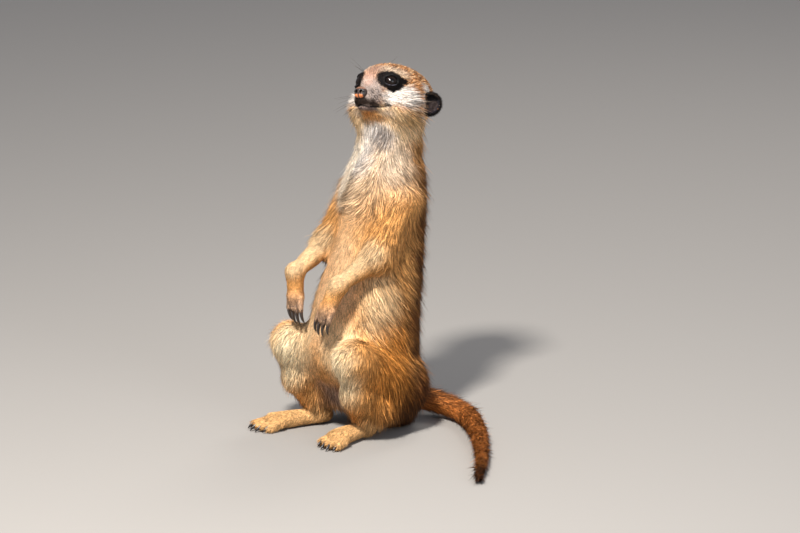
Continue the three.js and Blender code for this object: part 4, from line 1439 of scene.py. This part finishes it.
def tuft_mesh(name, at, normal, way, size, colour, dark, uv, rng):
    """One mesh with a closed spike for each root."""
    count = len(at)
    long = size[:, 0] > LONG_HAIR
    guard = rng.random(count) < np.where(long, 2 * GUARD_HAIRS, GUARD_HAIRS)
    paler = 1 + 0.18 / (colour.mean(axis=1) + 0.08)
    strand = np.where(rng.random(count) < 0.4, paler, rng.uniform(0.25, 0.5, count))
    colour = colour * np.where(guard & long, strand, 1)[:, None]
    length = size[:, 0] * rng.uniform(0.7, 1.25, count) * np.where(guard, 1.4, 1)
    width = size[:, 1] * rng.uniform(0.7, 1.3, count) * np.where(guard, 0.85, 1)
    lift = size[:, 2] * rng.uniform(0.4, 1.5, count) * np.where(guard & long, 1.35, 1)
    across = np.cross(way, normal)
    swing = rng.normal(0, 0.10, count) + 0.13 * wave(at, 8, 31)
    way = way * np.cos(swing)[:, None] + across * np.sin(swing)[:, None]
    across = np.cross(way, normal)
    aside = rng.normal(0, 0.12, count)

    half = (width / 2)[:, None]
    root = at - normal * ROOT_DEPTH
    root[:, 2] = np.maximum(root[:, 2], 0.5 * half[:, 0] + 0.4)
    tip = at + way * length[:, None] + normal * (length * 0.58 * lift)[:, None]
    tip = tip + across * (length * aside)[:, None]
    tip[:, 2] = np.maximum(tip[:, 2], FLOOR_GAP)
    corners = [root - across * half, root + across * half, root + normal * half * 0.7, tip]
    co = np.stack(corners, axis=1).reshape(-1, 3)
    co[:, 2] = np.maximum(co[:, 2], LOWEST)

    facing = normal + rng.normal(0, TILT, (count, 3))
    facing = facing + across * rng.normal(0, TILT, count)[:, None]
    turned = [facing + across * 0.7 * s + way * t * 0.3 for s, t in zip(SPIKE_SIDE, SPIKE_ALONG)]
    mesh, index = spike_mesh(name, co, np.stack(turned, axis=1).reshape(-1, 3))
    store(mesh, "tint", np.repeat(colour, CORNERS, axis=0))
    store(mesh, "dark", np.repeat(dark, CORNERS))
    store(mesh, "along", np.tile(SPIKE_ALONG, count))
    in_patch = np.column_stack([SPIKE_SIDE * 0.5, SPIKE_ALONG - 0.5]) * PATCH
    corner_uv = np.repeat(uv, CORNERS, axis=0) + np.tile(in_patch, (count, 1))
    layer = mesh.uv_layers.new(name="OFBake")
    layer.uv.foreach_set("vector", corner_uv[index].astype(np.float32).ravel())
    mesh.materials.append(coat_look)
    return mesh


print("tuft:", len(SPIKE_FACES), "triangles between", CORNERS, "corners")

# %% [markdown]
# ## A place for each tuft on a flat sheet
#
# A program that can't run the material needs the colours as a picture. The map named OFBake says where each
# tuft finds its own: the skin is rolled out flat like the label of a bottle, and a tuft gets a tiny patch
# where its root stands.

# %% Roll the skin out
def unwrap(p, middle, axis):
    """Rolls the skin out round an axis: the turn about it, and the height along it, both from 0 to 1."""
    axis = unit(np.array(axis, float))
    side = unit(np.cross(axis, (0.31, 0.9, 0.3)))
    off = p - np.array(middle)
    turn = np.arctan2(off @ np.cross(axis, side), off @ side) / (2 * np.pi) + 0.5
    height = off @ axis
    height = (height - height.min()) / max(np.ptp(height), 1e-6)
    return np.column_stack([turn, height])


def on_sheet(uv, column=0, columns=1):
    """Puts an unwrapped part into its own column of the sheet, clear of the edges."""
    return np.column_stack([(column + 0.02 + 0.96 * uv[:, 0]) / columns, 0.01 + 0.98 * uv[:, 1]])


def limb_axis(name, side):
    """The middle and the axis that a limb's piece is unwrapped round."""
    _, elbow, wrist, palm, _ = arm_points(side)
    heel, pad, _ = foot_points(side)
    if name == "hands":
        return palm, palm - wrist
    if name == "arms":
        return elbow, wrist - elbow + (0, 10, -20)
    if name == "feet":
        return (heel + pad) / 2, pad - heel
    return (25 * side, -35, 40), (0, 0, 1)


def sheet_places(part, name, p, rng):
    """Where the roots of one piece lie on the sheet."""
    if part == "head":
        return on_sheet(unwrap(p, on_head(-18, 0, -8), HEAD_TURN @ (0, -1, 0)))
    if part == "trunk":
        return on_sheet(unwrap(p, (0, -10, 0), (0, 0, 1)))
    if part == "tail":
        step = np.linalg.norm(p[:, None] - TAIL[None], axis=2).argmin(axis=1)
        off = p - TAIL[step]
        turn = np.arctan2(off[:, 2], off[:, 1]) / (2 * np.pi) + 0.5
        return on_sheet(np.column_stack([turn, step / TAIL_STEPS + rng.random(len(p)) / TAIL_STEPS]))
    uv = np.empty((len(p), 2))
    for column, side in enumerate((1, -1)):
        mine = p[:, 0] * side > 0
        uv[mine] = on_sheet(unwrap(p[mine], *limb_axis(name, side)), column, 2)
    return uv


two_roots = np.array([(0.0, -40.0, 60.0), (0.0, -40.0, 160.0)])
print("sheet: low and high on the belly", sheet_places("trunk", "belly", two_roots, None).round(2).tolist())

# %% Sort the tufts into pieces
PIECES = {
    "head": ("face", "cheeks", "crown"),
    "trunk": ("lower_trunk", "belly", "chest", "neck"),
    "arms": ("hands", "arms"),
    "legs": ("feet", "shanks", "thighs"),
    "tail": ("tail",),
}
HANDS_TOP = 108  # height
SEEN_AT = 0.55  # a tuft takes its colour from where the middle of it lies
colour, dark, _ = coat_colour(roots + lie * size[:, :1] * SEEN_AT)
tone_change = rng.normal(1, 0.48 - 0.42 * colour.mean(axis=1))
dark_tipped = (rng.random(len(roots)) < dark) * rng.uniform(0.5, 1, len(roots))
warm = rng.normal(0, 0.04, len(roots))
warmth = np.column_stack([1 + warm, np.ones(len(roots)), 1 - warm])
colour = colour * np.clip(tone_change, 0.25, 1.8)[:, None] * warmth
part_number = np.argmax(part_weights(roots), axis=0)
part_number[(roots[:, 2] > HEAD_BASE) & (part_number == 1)] = 0


def share_out(part, chosen):
    """Divides a part's tufts among its pieces."""
    sorted_by = {"head": head_of(roots[chosen])[:, 0], "tail": roots[chosen, 0]}
    chosen = chosen[np.argsort(sorted_by.get(part, roots[chosen, 2]), kind="stable")]
    z = roots[chosen, 2]
    if part == "arms":
        return [chosen[z < HANDS_TOP], chosen[z >= HANDS_TOP]]
    if part == "legs":
        return [chosen[z < FOOT_TOP], *np.array_split(chosen[z >= FOOT_TOP], 2)]
    shares = np.array_split(chosen, len(PIECES[part]))
    return shares[::-1] if part == "head" else shares  # the face is furthest forward, so it comes last


groups = []
for number, (part, names) in enumerate(PIECES.items()):
    shares = share_out(part, np.nonzero(part_number == number)[0])
    groups += [(part, name, share) for name, share in zip(names, shares)]
print("pieces:", [name for _, name, _ in groups])

# %% Build the coat
total_faces = 0
for part, name, group in groups:
    at, facing, way, extent = (values[group] for values in (roots, root_normal, lie, size))
    uv = sheet_places(part, name, at, rng)
    mesh = tuft_mesh(f"coat_{name}", at, facing, way, extent, colour[group], dark_tipped[group], uv, rng)
    add_piece(f"coat_{name}", mesh)
    total_faces += len(mesh.polygons)
    print(f"coat_{name}:", len(group), "tufts,", len(mesh.polygons), "triangles")
print("coat in all:", total_faces, "triangles")

# %% [markdown]
# ## Eyes
#
# The eye is nearly black: a dark brown iris that fills the opening, a flat oval pupil, and a clear front
# that bulges a little. One closed ball with a very smooth surface gives this without real glass, which
# other programs often can't show. Rings are closer together in front, where the bulge is.

# %% Eyeballs
IRIS_RADIUS = 3.9
PUPIL = (1.7, 1.15)  # half width and half height
SEGMENTS = 48
RINGS_ON_BALL = 38


def eyeball(name, side):
    """A ball whose axis is the line of sight, with a bulge in front."""
    middle, turn = eye_frame(side)
    angle = (np.pi * np.linspace(0, 1, RINGS_ON_BALL + 2)[1:-1] ** 1.4)[:, None]
    spin = np.linspace(0, 2 * np.pi, SEGMENTS, endpoint=False)
    radius = EYE_RADIUS - 0.15 + 0.25 * np.exp(-((angle / 0.6) ** 2))
    wide = np.sin(angle)
    out = np.cos(angle) * radius + np.zeros(SEGMENTS)
    ball_rings = np.stack([wide * np.cos(spin) * radius, wide * np.sin(spin) * radius, out], axis=-1)
    local = np.array([(0, 0, EYE_RADIUS + 0.1), *ball_rings.reshape(-1, 3), (0, 0, -EYE_RADIUS + 0.15)])
    base, last = 1 + (RINGS_ON_BALL - 1) * SEGMENTS, len(local) - 1
    faces = []
    for s in range(SEGMENTS):
        after = (s + 1) % SEGMENTS
        faces += [(0, 1 + s, 1 + after), (base + after, base + s, last)]
        for first in range(1, base, SEGMENTS):
            a, b = first + s, first + after
            faces.append((a, a + SEGMENTS, b + SEGMENTS, b))
    if np.linalg.det(turn) < 0:
        faces = [face[::-1] for face in faces]
    mesh = bpy.data.meshes.new(name)
    mesh.from_pydata(((local @ turn.T + middle) * MM).tolist(), [], faces)
    mesh.shade_smooth()
    u, v, out = local.T
    store(mesh, "iris", np.where(out > 0, np.hypot(u, v) / IRIS_RADIUS, 2))
    store(mesh, "pupil", np.where(out > 0, np.hypot(u / PUPIL[0], v / PUPIL[1]), 3))
    return mesh


PUPIL_BLACK = np.array((0.002, 0.002, 0.002))
eye_look, tree, inputs = new_look("eye", Roughness=0.03, IOR=1.36)
iris_tone = mix_colour(tree, noise(tree, 2600.0, 3.0), tone(10, 7, 6), tone(28, 17, 12))
ringed = mix_colour(tree, remap(tree, read(tree, "iris"), 0.8, 1.0), iris_tone, tone(8, 6, 6))
in_pupil = remap(tree, read(tree, "pupil"), 0.9, 1.15, 1.0, 0.0)
tree.links.new(mix_colour(tree, in_pupil, ringed, PUPIL_BLACK), inputs["Base Color"])
for side, label in ((1, "left"), (-1, "right")):
    ball_mesh = eyeball(f"eyeball_{label}", side)
    ball_mesh.materials.append(eye_look)
    add_piece(f"eyeball_{label}", ball_mesh, [f"eye_{label}"])
print("eyes:", 2 * EYE_RADIUS, "mm across,", len(ball_mesh.vertices), "vertices each")

# %% [markdown]
# ## Nose
#
# The nose is bare and finely pebbled: dark above, with two round nostrils that run out sideways as slits,
# and two paler pads below, parted by a groove that goes on down to the lip.

# %% The nose's shape
NOSE_AT = np.array([15.3, 0, -12.0])
NOSE_HALF = (5.1, 3.7, 4.5)


def nose_local(p):
    """Left, forward and up from the middle of the nose."""
    forward, left, up = to_head(p)
    return left - NOSE_AT[1], forward - NOSE_AT[0], up - NOSE_AT[2]


def nose(p):
    """The nose leather with its nostrils, pads and groove."""
    q = nose_local(p)
    mirror = (np.abs(q[0]), q[1], q[2])
    shape = ball(q, (0, -0.2, 0.2), NOSE_HALF)
    shape = blend(shape, ball(mirror, (1.9, 0.9, -1.8), (2.2, 2.3, 1.7)), 0.6)
    shape = blend(shape, ball(mirror, (2.9, 0.6, 0.9), (1.5, 2.1, 1.6)), 0.8)
    shape = carve(shape, bar(mirror, (1.95, 3.9, 0.15), (1.7, 1.2, 0.5), 1.25, 0.9), 0.5)
    shape = carve(shape, bar(mirror, (2.3, 3.1, 0.0), (4.6, 1.6, -0.5), 0.7, 0.3), 0.4)
    return carve(shape, bar(q, (0, 3.9, 0.4), (0, 3.0, -4.6), 0.28, 0.4), 0.6)


NOSE_REACH, NOSE_CELL = 7, 0.22
nose_points, nose_quads = local_surface(nose, on_head(*NOSE_AT), NOSE_REACH, NOSE_CELL)
nose_mesh = bpy.data.meshes.new("nose_leather")
nose_mesh.from_pydata((nose_points * MM).tolist(), [], nose_quads.tolist())
nose_mesh.shade_smooth()
print("nose:", len(nose_points), "vertices")

# %% The nose's colours
x, y, z = nose_local(nose_points.T)
x = np.abs(x)
pads = ease(-z, 1.2, 2.2) * ease(x, 0.3, 0.8) * fade(x, 2.9, 3.8) * ease(y, 0.2, 1.4)
ridge = fade(np.abs(z - 3.3), 0.4, 1.1) * (y > -0.5)
nostril = np.hypot(x - 2.1, (z - 0.4) * 0.8)
slit = np.abs(z + 0.2) + 2.0 * (x < 2) + 2.0 * (x > 4.6)
nostril_shade = fade(np.minimum(nostril, slit), 1.0, 1.7)
nose_tint = np.repeat(tone(44, 30, 26)[None], len(x), axis=0)
paint(nose_tint, tone(132, 90, 66), ridge * 0.7)
paint(nose_tint, tone(206, 122, 72), pads)
# Painted shade: the nostrils are made near black.
paint(nose_tint, tone(14, 9, 9), nostril_shade)
store(nose_mesh, "tint", nose_tint)
nose_look, tree, inputs = new_look("nose", Roughness=0.42, Specular_IOR_Level=0.5)
blotches = remap(tree, noise(tree, 1500.0, 2.0), 0.0, 1.0, 0.75, 1.2)
tree.links.new(brighten(tree, read(tree, "tint", "Color"), blotches), inputs["Base Color"])
pebbles = texture(tree, "ShaderNodeTexVoronoi", 2600.0).outputs["Distance"]
bumps(tree, inputs, pebbles, 0.6, 0.00025)
nose_mesh.materials.append(nose_look)
add_piece("nose_leather", nose_mesh, ["nose"])
print("nose: the pads cover", round(float(pads.mean()) * 100), "% of it")

# %% [markdown]
# ## Claws and whiskers
#
# The fore claws are long and dark, made for digging, and curve down beyond the fingertips. The hind ones
# are short. Both are narrow from side to side, with a blunt tip and faint mottling in the horn. The
# whiskers are single stiff hairs, far thicker than fur, so each is a fine tapered tube.

# %% Tubes along a curve
def tube(points, radii, sides, thin=1.0):
    """A closed tube along points; `thin` narrows it sideways. Returns its vertices, faces and run."""
    points = np.asarray(points, float)
    along = np.gradient(points, axis=0)
    along /= np.linalg.norm(along, axis=1, keepdims=True)
    bend = points[-1] - 2 * points[len(points) // 2] + points[0]
    narrow = np.cross(along, bend if np.linalg.norm(bend) > 1e-3 else (0.3, 0.2, 1))
    narrow /= np.linalg.norm(narrow, axis=1, keepdims=True)
    high = np.cross(narrow, along)
    co, faces = [], []
    for i, (point, radius) in enumerate(zip(points, radii)):
        for s in range(sides):
            angle = 2 * np.pi * s / sides
            sideways, upwards = math.cos(angle) * radius * thin, math.sin(angle) * radius
            co.append(point + narrow[i] * sideways + high[i] * upwards)
    for i in range(len(points) - 1):
        for s in range(sides):
            a, b = i * sides + s, i * sides + (s + 1) % sides
            faces.append((a, b, b + sides, a + sides))
    faces.append(tuple(range(sides))[::-1])
    faces.append(tuple(range((len(points) - 1) * sides, len(points) * sides)))
    return np.array(co), faces, np.repeat(np.linspace(0, 1, len(points)), sides)


def joined_tubes(name, tubes):
    """Several tubes as one mesh, each vertex knowing how far along its tube it is."""
    co, faces, runs = [], [], []
    for points, tube_faces, run in tubes:
        first = sum(len(c) for c in co)
        co.append(points)
        faces += [tuple(first + i for i in face) for face in tube_faces]
        runs.append(run)
    mesh = bpy.data.meshes.new(name)
    mesh.from_pydata((np.concatenate(co) * MM).tolist(), [], faces)
    mesh.shade_smooth()
    store(mesh, "along", np.concatenate(runs))
    return mesh


CLAW_STEPS, CLAW_SIDES, CLAW_THIN = 12, 10, 0.62


def claw(start, way, length, radius, droop):
    """A curved claw: straight out of the digit at first, then down to its tip."""
    t = np.linspace(0, 1, CLAW_STEPS)[:, None]
    start = start - way * radius * 1.2
    middle = start + way * length * 0.6
    end = start + way * length * 0.92 + np.array(droop) * length * 0.36
    points = start * (1 - t) ** 2 + 2 * middle * t * (1 - t) + end * t**2
    radii = radius * np.interp(t[:, 0], (0, 0.3, 0.75, 1), (0.9, 1, 0.55, 0.12))
    return tube(points, radii, CLAW_SIDES, CLAW_THIN)


FORE_CLAW = (13.2, 1.7, (0, 1, -0.1))  # length, radius, and which way its tip droops
HIND_CLAW = (9.6, 1.7, (0, 0, -0.85))
claw_look, tree, inputs = new_look("claw", Roughness=0.34, Coat_Weight=0.2, Coat_Roughness=0.2)
horn = mix_colour(tree, noise(tree, 1100.0, 3.0), tone(24, 20, 20), tone(66, 58, 54))
at_tip = remap(tree, read(tree, "along"), 0.35, 1.0)
tree.links.new(mix_colour(tree, at_tip, horn, tone(30, 26, 26)), inputs["Base Color"])
for side, label in ((1, "left"), (-1, "right")):
    _, _, _, palm, tip = arm_points(side)
    fore = [claw(b, way, *FORE_CLAW) for _, b, way in digit_lines(palm, tip, side, FINGER)]
    _, pad, tip = foot_points(side)
    hind = [claw(b + (0, 0, 1.0), way, *HIND_CLAW) for _, b, way in digit_lines(pad, tip, side, TOE)]
    for limb, tubes in (("fore", fore), ("hind", hind)):
        mesh = joined_tubes(f"claws_{limb}_{label}", tubes)
        mesh.materials.append(claw_look)
        add_piece(mesh.name, mesh, [f"claw_{limb}_{label}_{i}" for i in range(1, DIGITS + 1)])
        print(f"claws_{limb}_{label}:", len(tubes), "claws")

# %% Whiskers and brow hairs
# Root on the head (forward, to the side, up), which way it points, and its length.
WHISKERS = [
    ((10, 4.6, -14.5), (0.5, 0.8, -0.25), 17),
    ((8, 5.8, -13), (0.25, 0.95, 0.0), 20),
    ((8, 5.8, -15.5), (0.2, 0.95, -0.3), 22),
    ((5, 7.4, -13.5), (-0.1, 1, 0.1), 24),
    ((5, 7.2, -16), (-0.1, 1, -0.2), 24),
    ((2, 8.6, -14.5), (-0.35, 0.95, -0.05), 25),
    ((2, 8.6, -16.8), (-0.35, 0.9, -0.3), 22),
    ((-14, 21, -14), (-0.2, 1, -0.3), 14),
    ((2, 9, 6.5), (0.45, 0.65, 0.6), 14),
    ((0, 9.5, 8), (0.3, 0.7, 0.7), 16),
    ((-2, 11, 8), (0.1, 0.9, 0.5), 12),
]
SAG = np.array([-0.12, 0, -0.10])  # how far a hair's tip bends back and down, for its length
WHISKER_RADII = np.linspace(0.13, 0.03, 9)
hairs = []
for side in (1, -1):
    for at, way, length in WHISKERS:
        at, way = (np.array([v[0], v[1] * side, v[2]]) for v in (at, way))
        t = np.linspace(0, 1, len(WHISKER_RADII))[:, None]
        line = at + unit(way) * length * t + SAG * length * t**2
        hairs.append(tube([on_head(*point) for point in line], WHISKER_RADII, 4))
whisker_mesh = joined_tubes("whiskers", hairs)
whisker_look, tree, inputs = new_look("whisker", Roughness=0.4)
faded = mix_colour(tree, read(tree, "along"), tone(26, 20, 18), tone(70, 56, 48))
tree.links.new(faded, inputs["Base Color"])
whisker_mesh.materials.append(whisker_look)
add_piece("whiskers", whisker_mesh)
print("whiskers:", len(hairs))

# %% [markdown]
# ## Floor, light and camera
#
# The model stands on a plain pale floor. One warm lamp stands high in front, as the sun would,
# a weak cool one fills the shadows, and one from behind lights the edge of the coat. A long lens from far
# away keeps the proportions flat, as a portrait of a small animal is usually taken.

# %% Floor and lamps
FLOOR_REACH = 6.0  # metres from the middle
AIM = Vector((-0.0131, 0.0267, 0.1105))  # what the camera and the lamps point at

floor_mesh = bpy.data.meshes.new("floor")
floor_corners = [(x * FLOOR_REACH, y * FLOOR_REACH, 0) for x, y in ((-1, -1), (1, -1), (1, 1), (-1, 1))]
floor_mesh.from_pydata(floor_corners, [], [(0, 1, 2, 3)])
floor = bpy.data.objects.new("floor", floor_mesh)
bpy.context.scene.collection.objects.link(floor)
floor_look, _, inputs = new_look("pale_floor", Roughness=0.85)
inputs["Base Color"].default_value = (0.27, 0.255, 0.24, 1)
floor_mesh.materials.append(floor_look)

world = bpy.data.worlds.new("studio")
world.use_nodes = True
sky = world.node_tree.nodes["Background"].inputs
sky["Color"].default_value = (0.86, 0.9, 1.0, 1)
sky["Strength"].default_value = 0.44
bpy.context.scene.world = world


def direction(azimuth, elevation):
    """From the object towards a camera or lamp. Azimuth 0 is in front and 90 on the animal's left."""
    azimuth, elevation = math.radians(azimuth), math.radians(elevation)
    flat = math.cos(elevation)
    return Vector((math.sin(azimuth) * flat, -math.cos(azimuth) * flat, math.sin(elevation)))


def place_round(name, data, azimuth, elevation, distance):
    """Puts a lamp or camera on a ball round the object, looking at its middle."""
    thing = bpy.data.objects.new(name, data)
    way = direction(azimuth, elevation)
    thing.location = AIM + way * distance
    thing.rotation_mode = "QUATERNION"
    thing.rotation_quaternion = way.to_track_quat("Z", "Y")
    bpy.context.scene.collection.objects.link(thing)
    return thing


# Name, azimuth and elevation in degrees, distance and width in metres, watts, and colour.
for name, azimuth, elevation, far, width, power, glow in (
    ("sun_lamp", 29, 50, 1.6, 0.2, 56, (1.0, 0.96, 0.90)),
    ("fill_lamp", 85, 20, 1.8, 0.8, 8, (0.84, 0.91, 1.0)),
    ("edge_lamp", 200, 48, 1.7, 0.6, 8, (1.0, 0.95, 0.88)),
):
    light = bpy.data.lights.new(name, "AREA")
    light.shape, light.size, light.energy, light.color = "DISK", width, power, glow
    place_round(name, light, azimuth, elevation, far)
print("lamps:", [lamp.name for lamp in bpy.data.lights])

# %% Camera
camera_data = bpy.data.cameras.new("camera")
camera_data.lens, camera_data.sensor_width = 200, 36
camera_data.clip_start, camera_data.clip_end = 0.1, 50
camera = place_round("camera", camera_data, azimuth=48, elevation=14, distance=3.3)
bpy.context.scene.camera = camera
bpy.context.scene.view_settings.view_transform = "Standard"
print("camera:", [round(c, 3) for c in camera.location])
